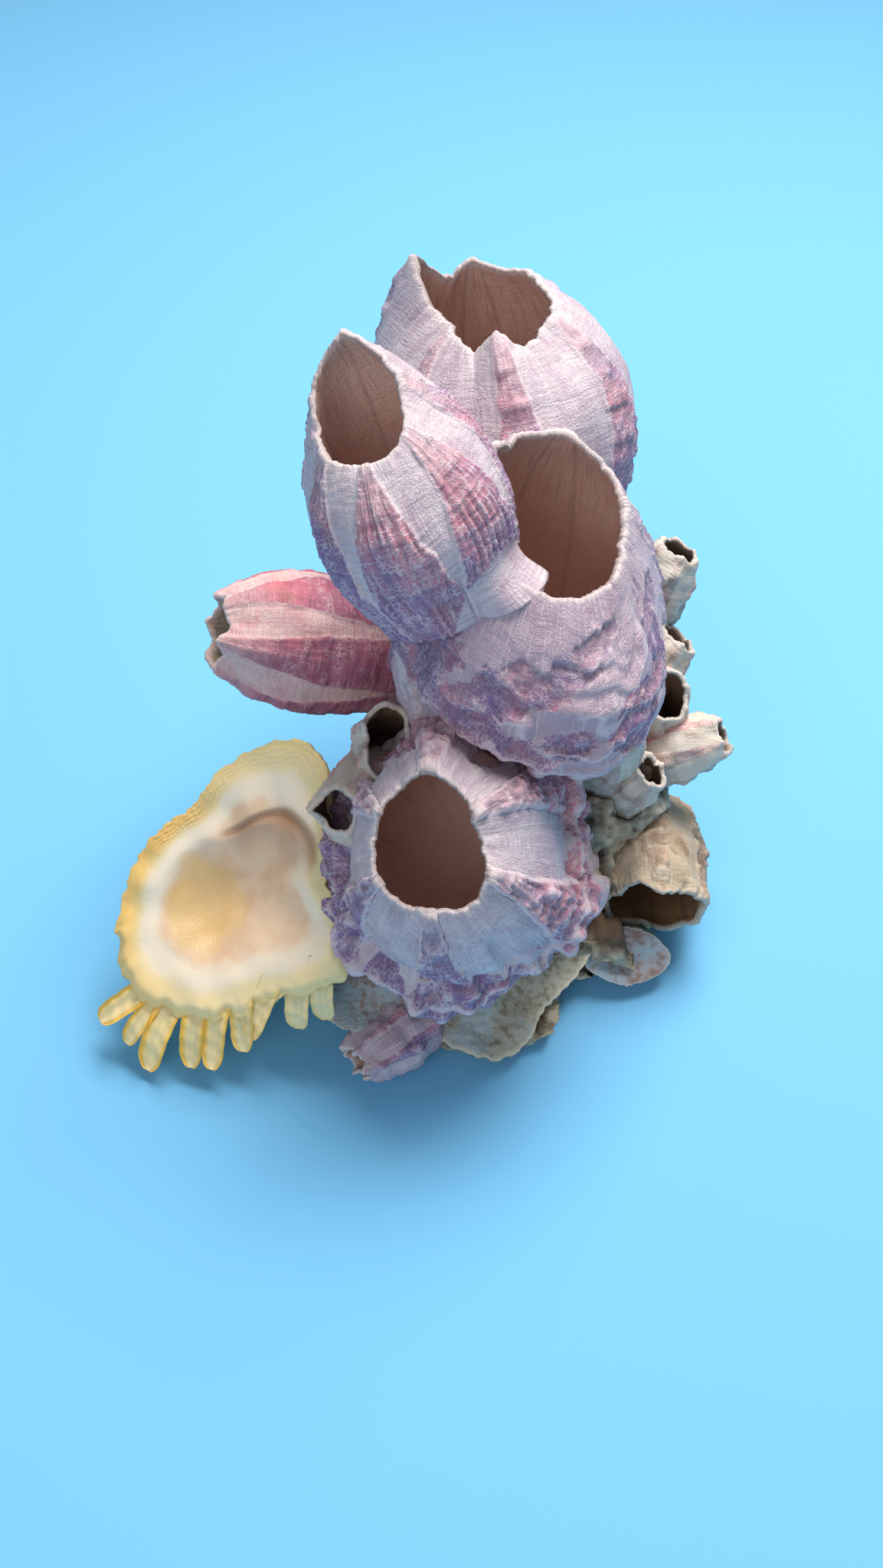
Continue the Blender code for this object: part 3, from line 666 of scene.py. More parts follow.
def finished(tree, colour, roughness, relief, strength, depth):
    """Gives the tree's shader its colour, its roughness and a fine relief, its depth in metres."""
    shader = tree.nodes["Principled BSDF"]
    bump = add(tree, "Bump", Strength=strength, Distance=depth, Height=relief)
    tree.links.new(colour, shader.inputs["Base Color"])
    tree.links.new(roughness, shader.inputs["Roughness"])
    tree.links.new(bump.outputs["Normal"], shader.inputs["Normal"])


def shell_finish(name, plum, rose, strip, tint, worn, wear, inside, deep, roughness=0.6, dirt=0.25):
    """A barnacle's finish: plates from plum to rose with worn white marks and painted shade in their low
    places, pale lined strips and a brown hollow with specks that darkens towards its floor as painted
    shade."""
    material, tree, grain = new_finish(name)
    plate = field(tree, "plate")
    rise = field(tree, "rise")
    crest = field(tree, "crest")
    border = field(tree, "border")
    dark = tuple(v * 0.45 for v in plum)
    pale = tuple(min(1.0, v * 1.25) for v in strip)
    fold_colour = tuple(v * k for v, k in zip(inside, (0.72, 0.5, 0.5)))
    seam_colour = tuple(v * 0.55 for v in deep)

    across, down, blotch, speckle = lines_at(
        tree, grain, (0.25, 2.6, 4.0), (2.2, 0.16, 4.0), (0.22, 0.16, 4.0), (3.2, 3.2, 3.0)
    )
    net = placed(tree, worn_net, "Mask", Grain=grain, Cells=1.1, Width=0.16, Spread=wear)

    redness = sums(tree, "ADD", field(tree, "rosy"), sums(tree, "MULTIPLY_ADD", blotch, 1.6, -0.8))
    redness = sums(tree, "ADD", redness, sums(tree, "MULTIPLY_ADD", down, 0.5, -0.25))
    face = layered(
        tree,
        blended(tree, between(tree, redness, 0.15, 0.95), plum, rose),
        (between(tree, rise, 0.68, 1.0, 0.0, 0.5), strip),
        (between(tree, down, 0.56, 0.72, 0.0, 0.3), dark),
        (between(tree, across, 0.52, 0.74, 0.0, 0.5), worn),
        (between(tree, crest, 0.56, 0.95, 0.0, 0.7), worn),
        (sums(tree, "MULTIPLY", net, 0.7), worn),
        (between(tree, speckle, 0.6, 0.7, 0.0, 0.5), worn),
        # Painted shade: the low places among the growth marks are darkened.
        (between(tree, crest, 0.15, 0.42, 0.32, 0.0), dark),
    )
    band = layered(
        tree,
        blended(tree, between(tree, blotch, 0.42, 0.68, 0.0, 0.6), strip, tint),
        (field(tree, "veil"), tint),
        (between(tree, across, 0.45, 0.62, 0.0, 0.5), tint),
        (between(tree, down, 0.52, 0.7, 0.0, 0.45), pale),
    )
    edge_noise = sums(tree, "MULTIPLY_ADD", speckle, 0.3, -0.15)
    outside = layered(
        tree,
        blended(tree, between(tree, sums(tree, "ADD", plate, edge_noise), 0.35, 0.6), band, face),
        (sums(tree, "MULTIPLY", between(tree, border, 0.5, 0.9), 0.75), worn),
        (between(tree, rise, 0.98, 1.0, 0.0, 0.4), paint(226, 216, 210)),
        (between(tree, blotch, 0.64 - 0.14 * dirt, 0.76 - 0.12 * dirt, 0.0, dirt), paint(126, 100, 74)),
    )

    fold = sums(tree, "MULTIPLY", between(tree, down, 0.45, 0.65), between(tree, rise, 0.5, 0.85))
    ring = sums(tree, "MULTIPLY", between(tree, rise, 0.3, 0.5), between(tree, rise, 0.55, 0.75, 1.0, 0.0))
    specks = between(tree, speckle, 0.66, 0.72, 0.0, 0.8)
    specks = sums(tree, "MULTIPLY", specks, between(tree, blotch, 0.5, 0.62))
    # Painted shade: the hollow goes from the inside colour at the rim to the darker deep colour towards
    # its floor.
    hollow_colour = layered(
        tree,
        blended(tree, between(tree, rise, 0.25, 0.95), deep, inside),
        (sums(tree, "MULTIPLY", border, 0.4), seam_colour),
        (sums(tree, "MULTIPLY", fold, 0.5), fold_colour),
        (sums(tree, "MULTIPLY", ring, 0.4), fold_colour),
        (specks, paint(52, 36, 30)),
    )
    colour = blended(tree, field(tree, "hollow"), outside, hollow_colour)
    shine = between(tree, speckle, 0.3, 0.7, roughness - 0.1, roughness + 0.12)
    fine = sums(tree, "MULTIPLY_ADD", across, 0.8, sums(tree, "MULTIPLY", speckle, 0.6))
    fine = sums(tree, "MULTIPLY_ADD", down, 0.4, fine)
    fine = sums(tree, "MULTIPLY_ADD", net, 0.25, fine)
    finished(tree, colour, shine, fine, 0.7, 0.00035)
    return material


def finish_piece(piece, material, slot, *nodes):
    """Dresses a piece and puts it in the place of its plain solid."""
    piece.data.materials.append(material)
    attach(piece, "root")
    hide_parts(*nodes)


# Each with its mesh: points round it, rows up its wall and rows down its hollow.
LARGE_BARNACLES = (
    (
        Barnacle(
            "front_barnacle",
            foot=(9, -16, 22),
            mouth=(2.3, -38.7, 55.3),
            radii=(14.5, 19.4, 19.3, 10.6),
            mouth_shape=(-1.3, -1.9, -1.5, -0.3, 0.2, 1.6, 2.0, 1.8, 1.0, 0.8, 0.2, -0.5),
            crown=(0.0, 0.3, 0.2, 0.4, -1.2, -2.6, -3.0, -2.6, -2.2, -2.4, -0.6, 0.6),
            plates=((90, 25), (34, 21), (-25, 22), (-92, 22), (-150, 22), (145, 20)),
            teeth=(2.0, 2.0, 1.5, 1.0, 1.0, 1.5),
            proud=(3.0, 2.4, 2.2, 1.8, 1.6, 1.6),
            ledges=((0.5, 3.4, 0, 400), (0.84, -3.4, 63, 9), (0.8, -1.6, 129, 8), (0.8, -1.4, -58, 7)),
            ledge_slope=0.1,
            tilt=(1.0, 60),
            oval=(0.0, 0.08, 90),
            wall=(0.55, 3.2),
            rough=0.8,
            knobs=1.7,
            fan=5.0,
            ribs=0.16,
            edges=0.5,
            apron=(9.0, 3.0, 358, 34),
            bare=(0.12, 358, 44),
            patches=(
                (182, 0.36, 66, 0.2, 1),
                (268, 0.36, 54, 0.2, 1),
                (20, 0.36, 54, 0.19, 1),
                (92, 0.66, 32, 0.2, 1),
                (44, 0.62, 22, 0.14, 1),
            ),
            rosy=(45, 0.52),
        ),
        (400, 138, 30),
    ),
    (
        Barnacle(
            "middle_barnacle",
            foot=(14.5, -2, 40),
            mouth=(21.6, -1.2, 89.8),
            radii=(13, 21, 22, 12.4),
            plates=((20, 20), (85, 26), (150, 20), (200, 22)),
            teeth=(0.5, 0.8, 3.0, 1.5),
            proud=(1, 1, 1, 1.6),
            patches=(
                (216, 0.66, 24, 0.2, 1),
                (240, 0.62, 15, 0.08, 1),
                (254, 0.7, 15, 0.075, 1),
                (268, 0.77, 15, 0.07, 1),
                (283, 0.84, 14, 0.06, 1),
                (297, 0.9, 11, 0.045, 1),
                (250, 0.51, 28, 0.09, 1),
                (284, 0.58, 12, 0.06, 1),
                (312, 0.62, 19, 0.12, 1),
                (334, 0.76, 11, 0.16, 1),
                (349, 0.84, 9, 0.05, 1),
                (214, 0.4, 18, 0.08, 0),
                (300, 0.43, 22, 0.05, 0),
            ),
            ledges=(
                (0.87, 0.9, 296, 30),
                (0.79, 1.1, 310, 42),
                (0.7, 1.2, 306, 52),
                (0.6, 1.3, 284, 62),
                (0.5, 1.0, 268, 60),
                (0.5, -1.8, 212, 42),
                (0.44, -6.4, 290, 72),
            ),
            uneven=2.5,
            bare=(0.56, 208, 30),
            veil=(0.8, 250),
            knobs=0.6,
            tilt=(5.5, 110),
            oval=(-0.04, 0.1, 90),
            wall=(0.8, 3.4),
            floor=0.3,
            rough=0.35,
            ribs=0.3,
            edges=0.7,
            spacing=6.5,
            rosy=(270, 0.1),
        ),
        (380, 128, 32),
    ),
    (
        Barnacle(
            "upper_left_barnacle",
            foot=(4.8, -5.5, 80.5),
            mouth=(-7.8, -0.5, 108),
            radii=(11, 14.8, 14, 7.6),
            plates=((15, 25), (78, 26), (150, 25), (212, 24), (262, 27), (318, 27)),
            teeth=(0.6, 0.0, 0.6, 0.3, 0.3, 0.3),
            peaks=((80, 4.4, 66),),
            taper=1.7,
            tilt=(5.0, 95),
            oval=(0.0, 0.06, 90),
            wall=(0.7, 2.4),
            lumps=0.8,
            ribs=0.5,
            fan=9.0,
            rough=0.12,
            edges=0.25,
            apron=(5.5, 2.6, 328, 34),
            bare=(0.22, 318, 48),
            rosy=(300, 0.25),
        ),
        (340, 118, 28),
    ),
    (
        Barnacle(
            "top_barnacle",
            foot=(19.5, 24, 57.5),
            mouth=(11.0, 35.4, 102.8),
            radii=(14, 19, 21.5, 11),
            plates=((40, 24), (95, 22), (150, 26), (218, 20), (278, 20), (335, 24)),
            teeth=(1.0, 1.5, 6.0, 0.5, 3.5, 1.0),
            mouth_shape=(0, 0, 0, 0, 0.5, 0.5, -3.0, -3.6, -1.5, -0.4, 0, 0),
            tilt=(4.0, 110),
            oval=(0.0, -0.03, 90),
            wall=(0.8, 3.2),
            floor=0.3,
            rough=0.4,
            edges=0.5,
            spacing=5.5,
            rosy=(280, 0.3),
        ),
        (300, 108, 26),
    ),
)

mauve_finish = shell_finish(
    "mauve_shell",
    plum=paint(134, 106, 150),
    rose=paint(196, 130, 144),
    strip=paint(210, 197, 202),
    tint=paint(180, 154, 170),
    worn=paint(218, 202, 208),
    wear=0.58,
    inside=paint(234, 204, 190),
    deep=paint(222, 188, 174),
    dirt=0.12,
)
# The barnacles that have a hollow which a neighbour could reach into.
hollow_ones = []
for barnacle, fineness in LARGE_BARNACLES:
    shell = barnacle_piece(barnacle, *fineness, standing=hollow_ones)
    hollow_ones.append(barnacle)
    finish_piece(shell, mauve_finish, "mauve_shell", barnacle.name)

# Side barnacle: a smaller acorn barnacle of the same kind that grew out to the left, with rosy
# plates and cream strips. Its six plates are limy and cemented by the foot like the large ones'.
side_barnacle = Barnacle(
    "side_barnacle",
    foot=(-3, 14, 46.5),
    mouth=(-34, 8, 57.2),
    radii=(9, 11.5, 11.5, 6.3),
    plates=((30, 27), (90, 28), (150, 27), (210, 27), (270, 28), (330, 27)),
    taper=1.5,
    teeth=(1.5, 1.5, 1.0, 2.0, 1.0, 1.5),
    wall=(0.7, 2.2),
    ribs=0.12,
    rough=0.2,
    edges=0.3,
    bare=(0.14, 0, 400),
    rosy=(40, 0.6),
)
pink_finish = shell_finish(
    "pink_shell",
    plum=paint(172, 100, 122),
    rose=paint(214, 108, 120),
    strip=paint(226, 194, 188),
    tint=paint(210, 148, 152),
    worn=paint(226, 186, 188),
    wear=0.45,
    inside=paint(222, 206, 184),
    deep=paint(190, 166, 144),
)
side_shell = barnacle_piece(side_barnacle, 210, 82, 16, standing=hollow_ones)
finish_piece(side_shell, pink_finish, "pink_shell", "side_barnacle")
hollow_ones.append(side_barnacle)

# Small barnacles: young acorn barnacles, cream and a little pink, two beside the front shell and
# six down the right side. They are limy cups like the large ones, thin at the mouth.
SMALL_TEETH = (0.5, 0.3, 0.6, 0.4, 0.7, 0.4)
small_barnacles = [
    Barnacle(
        "left_small_barnacle",
        foot=(-5, -7, 37),
        mouth=(-5, -15.5, 54.5),
        radii=(6.5, 7.2, 6.6, 4.8),
        tilt=(1.5, 150),
        oval=(0.0, 0.25, 90),
        wall=(0.6, 1.6),
        rosy=(200, 0.5),
    ),
    Barnacle(
        "left_beak_barnacle",
        foot=(-3, -10, 35),
        mouth=(-13.0, -25.0, 48.5),
        radii=(8.0, 9.0, 7.5, 3.6),
        plates=((0, 24), (60, 24), (120, 20), (180, 26), (240, 22), (300, 22)),
        teeth=(0.5, 0.5, 0.5, 3.0, 0.5, 0.5),
        wall=(0.6, 1.5),
        rosy=(120, 0.6),
    ),
]
# The six on the right: foot, mouth, radii, the wall's thickness low down, and what else differs.
RIGHT_BARNACLES = (
    ((38, 23, 42.5), (46.4, 26.5, 60), (5.0, 6.0, 6.0, 3.6), 1.4, {}),
    ((38, 13, 37), (46.6, 16.5, 48), (4.6, 5.0, 4.8, 3.4), 1.4, {}),
    ((40, 11, 31), (43.8, 3.5, 46.5), (5.2, 6.2, 5.8, 4.0), 1.4, {"tilt": (1.5, 120)}),
    ((32, 0, 32), (34, -8.5, 51), (5.8, 6.6, 6.0, 4.0), 1.4, {"tilt": (1.5, 60), "oval": (0, 0.12, 80)}),
    ((39, 2, 31), (54, 1.0, 38.5), (4.8, 5.6, 5.4, 3.2), 1.4, {}),
    ((34, -2, 26), (40.4, -8.0, 39.5), (4.8, 5.3, 4.8, 2.8), 1.3, {}),
)
for letter, (foot, mouth, radii, low_wall, more) in zip("abcdef", RIGHT_BARNACLES):
    shape = {"foot": foot, "mouth": mouth, "radii": radii, "wall": (0.6, low_wall), **more}
    small_barnacles.append(Barnacle("right_barnacle_" + letter, teeth=SMALL_TEETH, **shape))
pale_finish = shell_finish(
    "pale_shell",
    plum=paint(190, 176, 166),
    rose=paint(214, 158, 160),
    strip=paint(216, 206, 192),
    tint=paint(196, 184, 170),
    worn=paint(230, 222, 210),
    wear=0.45,
    inside=paint(150, 128, 108),
    deep=paint(84, 64, 52),
    roughness=0.68,
    dirt=0.5,
)
for barnacle in small_barnacles:
    shell = barnacle_piece(barnacle, 104, 46, 12, standing=hollow_ones)
    finish_piece(shell, pale_finish, "pale_shell", barnacle.name)

# Bottom barnacle and old shell: a little mauve barnacle low in front, and the weathered brown
# shell of a dead one lying on its side at the right. Both are limy and cemented to the crust.
bottom_barnacle = Barnacle(
    "bottom_barnacle",
    foot=(1, -37, 6.6),
    mouth=(-10.5, -46, 6.4),
    radii=(5.2, 5.9, 5.4, 3.2),
    plates=((30, 17), (90, 12), (150, 17), (210, 12), (270, 17), (330, 12)),
    oval=(0.0, 0.15, 0),
    uneven=2.0,
    veil=(0.5, 90),
    wall=(0.6, 1.5),
    rosy=(90, 0.3),
)
finish_piece(barnacle_piece(bottom_barnacle, 120, 54, 12), mauve_finish, "mauve_shell", "bottom_barnacle")
old_shell = Barnacle(
    "old_barnacle_shell",
    foot=(41, 3, 12.5),
    mouth=(42.5, -18, 14),
    radii=(9, 11, 10.8, 8.8),
    teeth=(0.5, 2.5, 0.5, 0.5, 0.5, 1.0),
    tilt=(3.0, 60),
    wall=(0.9, 2.4),
    floor=0.35,
    lumps=1.6,
    ribs=0.12,
    rough=0.9,
    edges=0.6,
    rosy=(20, 0.4),
)
old_finish = shell_finish(
    "old_shell",
    plum=paint(170, 146, 120),
    rose=paint(196, 162, 142),
    strip=paint(198, 182, 158),
    tint=paint(174, 150, 122),
    worn=paint(204, 192, 170),
    wear=0.5,
    inside=paint(166, 130, 92),
    deep=paint(70, 48, 34),
    roughness=0.75,
    dirt=0.7,
)
finish_piece(barnacle_piece(old_shell, 190, 72, 20), old_finish, "old_shell", "old_barnacle_shell")

# Spiny valve: one half of a jewel-box clam, a thick limy dish that lies open to the front. Its
# inside is smooth and white with an orange muscle scar, and fluted yellow spines edge it below.


@dataclass(frozen=True)
class Valve:
    """A dish with an uneven outline, in millimetres: see each piece for what it is."""

    name: str
    centre: tuple
    facing: tuple
    # Radius of the outline in evenly spaced directions, turning from +X to +Z.
    outline: tuple
    # How deep the dish is, and the share of the radius where it begins.
    hollow: tuple
    # Thickness at the edge and in the middle.
    thick: tuple
    lumps: float = 0.5
    # Depth of the ribs and of the layered growth edges on the back, and of the edge's scallops.
    ribs: float = 0.3
    layers: float = 0.4
    scallops: float = 0.3


def valve_axes(valve):
    """The direction that the dish faces, and the two directions across its outline."""
    facing = Vector(valve.facing).normalized()
    across = (Vector((1, 0, 0)) - facing * facing.x).normalized()
    return np.array(facing), np.array(across), np.array(facing.cross(across))


def valve_rings(valve, turns, rows, lip=None):
    """Rings of points over the back and then the front, with the share of the radius, the place
    on the dish and whether it's the front."""
    facing, across, up = valve_axes(valve)
    depth, plain_lip = valve.hollow
    shares = np.concatenate([np.linspace(0.03, 1, rows), np.linspace(1, 0.02, rows)])
    front = np.concatenate([np.zeros(rows), np.ones(rows)])
    angle, share = np.meshgrid(np.arange(turns) * 360 / turns, shares)
    front = np.broadcast_to(front[:, None], share.shape)
    turn = np.radians(angle)
    way = np.cos(turn)[..., None] * across + np.sin(turn)[..., None] * up
    lips = plain_lip if lip is None else lip(angle)
    inside = np.maximum(0.0, 1 - (share / lips) ** 2)
    height = -depth * inside * inside
    edge, middle = valve.thick
    backing = edge + (middle - edge) * (1 - share**4)
    around = np.stack([np.cos(turn), np.sin(turn), turn * 0], -1)
    ragged = valve.scallops * lumpy(around * 20, 1.6) + 0.5 * valve.scallops * lumpy(around * 20 + 5, 0.7)
    radius = round_curve(valve.outline, angle) * share + ragged * share**6
    place = np.array(valve.centre) + way * radius[..., None]
    height = height + valve.lumps * lumpy(place, 6)
    flat = np.stack([np.cos(turn) * radius, np.sin(turn) * radius, front * 3], -1)
    ribs = lumpy(around * 20, (1.1, 1.1, 1)) * np.clip(share * 1.3 - 0.3, 0, 1)
    layer = (share * 14 + 1.3 * lumpy(flat, 5.0)) % 1.0
    back_marks = valve.ribs * ribs + valve.layers * layer + 0.3 * lumpy(flat, 1.5)
    height = height - (1 - front) * (backing + back_marks * np.clip(4 - 4 * share, 0, 1))
    return place, height, facing, flat, share, front, angle


spiny_valve = Valve(
    "spiny_valve",
    centre=(-31, -25, 29),
    facing=(-0.25, -0.6, 0.76),
    outline=(
        *(16.0, 17.0, 19.5, 23.5, 27.0, 25.5, 22.0, 18.5, 16.2, 16.4, 17.4, 19.0),
        *(21.1, 23.3, 26.0, 26.6, 25.4, 23.8, 22.2, 20.7, 21.6, 23.9, 24.5, 19.5),
    ),
    hollow=(7.0, 0.72),
    thick=(1.6, 4.5),
    lumps=1.0,
    scallops=0.7,
)
# Share of the radius where the dish begins in evenly spaced directions: the hinge is thick.
HINGE_LIP = (0.86, 0.84, 0.66, 0.50, 0.46, 0.56, 0.68, 0.72, 0.74, 0.74, 0.76, 0.78, 0.78, 0.78, 0.8, 0.84)
# Directions on the dish in degrees: its low edge with the spines, its top edge, its hinge, the
# side where it is warm yellow, and the two where it is greenish.
LOW_EDGE = 262
TOP_EDGE = 95
HINGE = 60
WARM_SIDE = 165
GREEN_SIDE = 345
GREEN_TOP = 80
# The muscle scar's middle and half sizes on the dish, how deep it and the hinge's groove are, how
# high the edge's folds and layers stand, and how far the low edge droops, all in millimetres.
SCAR_MIDDLE = (-7.4, -3.9)
SCAR_HALF = (6.2, 8.8)
SCAR_DEPTH = 0.25
GROOVE_DEPTH = 0.6
FOLD_DEPTH = 0.35
EDGE_DROOP = 1.2
LAYER_DEPTH = 0.4


def hinge_lip(angle):
    """Share of the radius where the dish begins in a direction."""
    return round_curve(HINGE_LIP, angle)


def side_of(angle, direction, low, high):
    """1 on the side of the dish that lies in a direction, and 0 away from it."""
    return rise_over(np.cos(np.radians(angle - direction)), low, high)


place, height, facing, flat, share, front, angle = valve_rings(spiny_valve, 360, 84, hinge_lip)
low_edge = side_of(angle, LOW_EDGE, 0.1, 0.5)
folds = np.abs(np.sin(np.radians(angle) * 22 + 2.0 * lumpy(flat, 6.0)))
height = height + front * low_edge * FOLD_DEPTH * folds * rise_over(share, 0.82, 1.0)
height = height - front * low_edge * EDGE_DROOP * rise_over(share, 0.88, 1.0) ** 2
outer_layers = (share * 26 + 1.5 * lumpy(flat, 4.0)) % 1.0
top_edge = side_of(angle, TOP_EDGE, 0.0, 0.6)
height = height + front * top_edge * rise_over(share, 0.78, 0.9) * LAYER_DEPTH * outer_layers
scar_x, scar_y = ((flat[..., i] - SCAR_MIDDLE[i]) / SCAR_HALF[i] for i in (0, 1))
scar_way = scar_x**2 + scar_y**2 + 0.4 * lumpy(flat, 5.0)
scar = front * (1 - rise_over(scar_way, 0.5, 1.3))
height = height - SCAR_DEPTH * scar
lip_share = share / hinge_lip(angle)
# Painted shade: the dish is marked brown under the thick hinge and darker in the hinge's groove, for the
# finish to paint.
hinge_side = side_of(angle, HINGE, 0.55, 0.9)
shade = front * hinge_side * rise_over(lip_share, 0.25, 0.9) * (1 - rise_over(lip_share, 0.98, 1.08))
groove = front * hinge_side * np.exp(-(((lip_share - 0.95) / 0.07) ** 2))
height = height - GROOVE_DEPTH * groove
# The low edge is drawn out and in along its folds.
frill = 0.02 * low_edge * np.sin(np.radians(angle) * 24 + 2.0 * lumpy(flat, 5.0)) * share**8
valve_points = place + facing * height[..., None]
valve_points = valve_points + (place - np.array(spiny_valve.centre)) * frill[..., None]
valve_fields = {
    "rim": share,
    "front": front,
    "scar": scar,
    "shade": np.clip(shade + groove, 0, 1),
    "groove": groove,
    "warm": front * side_of(angle, WARM_SIDE, 0.1, 0.9),
    "green": side_of(angle, GREEN_SIDE, 0.6, 0.95) + 0.6 * side_of(angle, GREEN_TOP, 0.5, 0.95),
    "spine": share * 0,
    "grain": flat,
}
valve_body = shell_object("spiny_valve_shell", valve_points, valve_fields)

# How far each spine reaches into the valve, and the foot, tip and half width of each one along
# the lower edge, in millimetres.
SPINE_BURIED = 3
SPINES = (
    ((-46.3, -34.8, 13.2), (-56.0, -38.5, 7.6), 2.3),
    ((-44.6, -36.3, 12.9), (-51.3, -41.9, 5.4), 1.9),
    ((-42.3, -37.3, 13.0), (-47.6, -45.6, 2.6), 2.6),
    ((-37.6, -38.4, 14.0), (-39.8, -46.0, 4.1), 2.3),
    ((-33.6, -39.0, 14.9), (-35.9, -46.8, 4.9), 2.3),
    ((-29.8, -39.2, 16.1), (-30.1, -45.0, 7.9), 2.2),
    ((-24.5, -37.9, 18.8), (-28.9, -44.0, 10.3), 2.1),
    ((-20.0, -38.0, 20.0), (-20.4, -43.4, 12.4), 2.3),
    ((-16.0, -37.9, 21.5), (-15.7, -42.9, 14.2), 2.2),
)


def spine_piece(index, foot, tip, half_width):
    """A gutter-shaped spine: a thin plate curled up at both sides, blunt at its tip."""
    foot = np.array(foot)
    tip = np.array(tip)
    along = (tip - foot) / np.linalg.norm(tip - foot)
    foot = foot - along * SPINE_BURIED
    wide = np.cross(along, valve_axes(spiny_valve)[0])
    wide = wide / np.linalg.norm(wide)
    thin = np.cross(wide, along)
    ways = np.linspace(0, 1, 34)[:, None]
    turn = np.linspace(0, 2 * np.pi, 40, endpoint=False)[None, :]
    blunt = 1 - np.clip((ways - 0.78) / 0.23, 0, 1) ** 2
    size = half_width * (1.0 - 0.12 * ways) * np.sqrt(np.clip(blunt, 0.02, 1))
    side = np.cos(turn)
    lift = 0.55 * side**2 + 0.16 * np.sin(turn) - 0.35
    bend = 1.1 * np.sin(np.pi * ways) + 0.25 * np.sin(9 * ways + index)
    flutes = 0.1 * np.cos(turn * 6) + 0.05 * np.sin(ways * 34 + index + side * 2)
    middle = foot + (tip - foot) * ways[..., None]
    points = middle + wide * (side * size)[..., None] + thin * ((lift + flutes) * size + bend)[..., None]
    inner = np.broadcast_to(rise_over(np.sin(turn), -0.1, 0.4), size.shape[:1] + turn.shape[1:])
    plain = np.zeros(inner.shape)
    along_grain = np.stack([side * size + index * 7, ways * 10 + plain, plain], -1)
    fields = {
        "rim": plain + 1,
        "front": inner * 1.0,
        "scar": plain,
        "shade": plain,
        "groove": plain,
        "warm": np.abs(side) + plain,
        "green": np.clip(plain + (index - 4) * 0.3, 0, 1),
        "spine": ways * inner + 0.25,
        "grain": along_grain,
    }
    return shell_object(f"spine_{index}", points, fields)


spines = [spine_piece(index, *spine) for index, spine in enumerate(SPINES)]
with bpy.context.temp_override(active_object=valve_body, selected_editable_objects=[valve_body, *spines]):
    bpy.ops.object.join()

yellow_finish, tree, grain = new_finish("yellow_shell")
blotch, small, fine = lines_at(tree, grain, (0.2, 0.2, 4.0), (1.1, 1.1, 4.0), (3.0, 3.0, 3.0))
rim = sums(tree, "ADD", field(tree, "rim"), sums(tree, "MULTIPLY_ADD", blotch, 0.16, -0.08))
warm = sums(tree, "MULTIPLY", field(tree, "warm"), between(tree, rim, 0.76, 0.92))
scar_colour = blended(tree, blotch, paint(248, 220, 166), paint(232, 180, 106))
green = sums(tree, "MULTIPLY", field(tree, "green"), between(tree, rim, 0.8, 0.95, 0.0, 0.45))
inside = layered(
    tree,
    blended(tree, between(tree, blotch, 0.35, 0.65), paint(234, 196, 160), paint(244, 216, 184)),
    (between(tree, rim, 0.54, 0.68), paint(250, 234, 208)),
    (between(tree, rim, 0.72, 0.86), paint(248, 224, 168)),
    (between(tree, rim, 0.9, 1.0, 0.0, 0.7), paint(246, 216, 140)),
    (warm, paint(246, 202, 120)),
    (field(tree, "scar"), scar_colour),
    # Painted shade: brown under the hinge and darker brown in its groove.
    (sums(tree, "MULTIPLY", field(tree, "shade"), 0.6), paint(186, 132, 92)),
    (sums(tree, "MULTIPLY", field(tree, "groove"), 0.6), paint(140, 98, 62)),
    (green, paint(216, 208, 160)),
)
outer = blended(tree, small, paint(206, 180, 118), paint(226, 210, 164))
outer = blended(tree, between(tree, blotch, 0.5, 0.65, 0.0, 0.5), outer, paint(150, 140, 104))
gold = layered(
    tree,
    blended(tree, field(tree, "front"), paint(240, 206, 108), paint(242, 192, 60)),
    (between(tree, field(tree, "warm"), 0.35, 0.9, 0.85, 0.1), paint(244, 228, 178)),
    (sums(tree, "MULTIPLY", field(tree, "green"), 0.75), paint(226, 220, 178)),
)
colour = blended(tree, field(tree, "front"), outer, inside)
colour = blended(tree, between(tree, field(tree, "spine"), 0.1, 0.25), colour, gold)
satin = between(tree, field(tree, "rim"), 0.6, 0.9, 0.32, 0.55)
relief = sums(tree, "MULTIPLY_ADD", small, 0.5, fine)
finished(tree, colour, satin, relief, 0.4, 0.0002)
finish_piece(valve_body, yellow_finish, "yellow_shell", "spiny_valve")

# Ledge, flake and clam: broken valves of other clams that the crust has grown over, low in front.
# They are limy, mottled blue-grey, olive and brown by what lives on them.
ledge_valve = Valve(
    "ledge_valve",
    centre=(13, -29, 10),
    facing=(0.05, -0.35, 0.93),
    outline=(
        *(16.0, 20.5, 20.0, 18.6, 18.0, 17.6, 18.1, 18.8),
        *(19.2, 18.8, 16.4, 15.9, 16.4, 15.0, 12.0, 12.6),
    ),
    hollow=(-1.5, 0.8),
    thick=(1.8, 3.5),
    lumps=1.4,
    scallops=0.5,
)
flake_valve = Valve(
    "flake_valve",
    centre=(-9, -38, 12.5),
    facing=(-0.1, -0.5, 0.86),
    outline=(7.4, 7.5, 7.6, 8.9, 9.3, 10.0, 9.5, 6.9, 5.6, 5.0, 5.4, 6.3),
    hollow=(1.0, 0.9),
    thick=(1.2, 2.0),
    lumps=0.8,
    scallops=0.5,
)
clam_valve = Valve(
    "clam_valve",
    centre=(37.5, -25.5, 7.0),
    facing=(0.15, -0.7, 0.7),
    outline=(8.4, 7.4, 6.6, 6.5, 6.8, 8.0, 7.8, 5.4, 4.4, 4.4, 4.6, 6.0),
    hollow=(1.6, 0.85),
    thick=(0.9, 1.6),
    lumps=0.3,
    scallops=0.25,
)


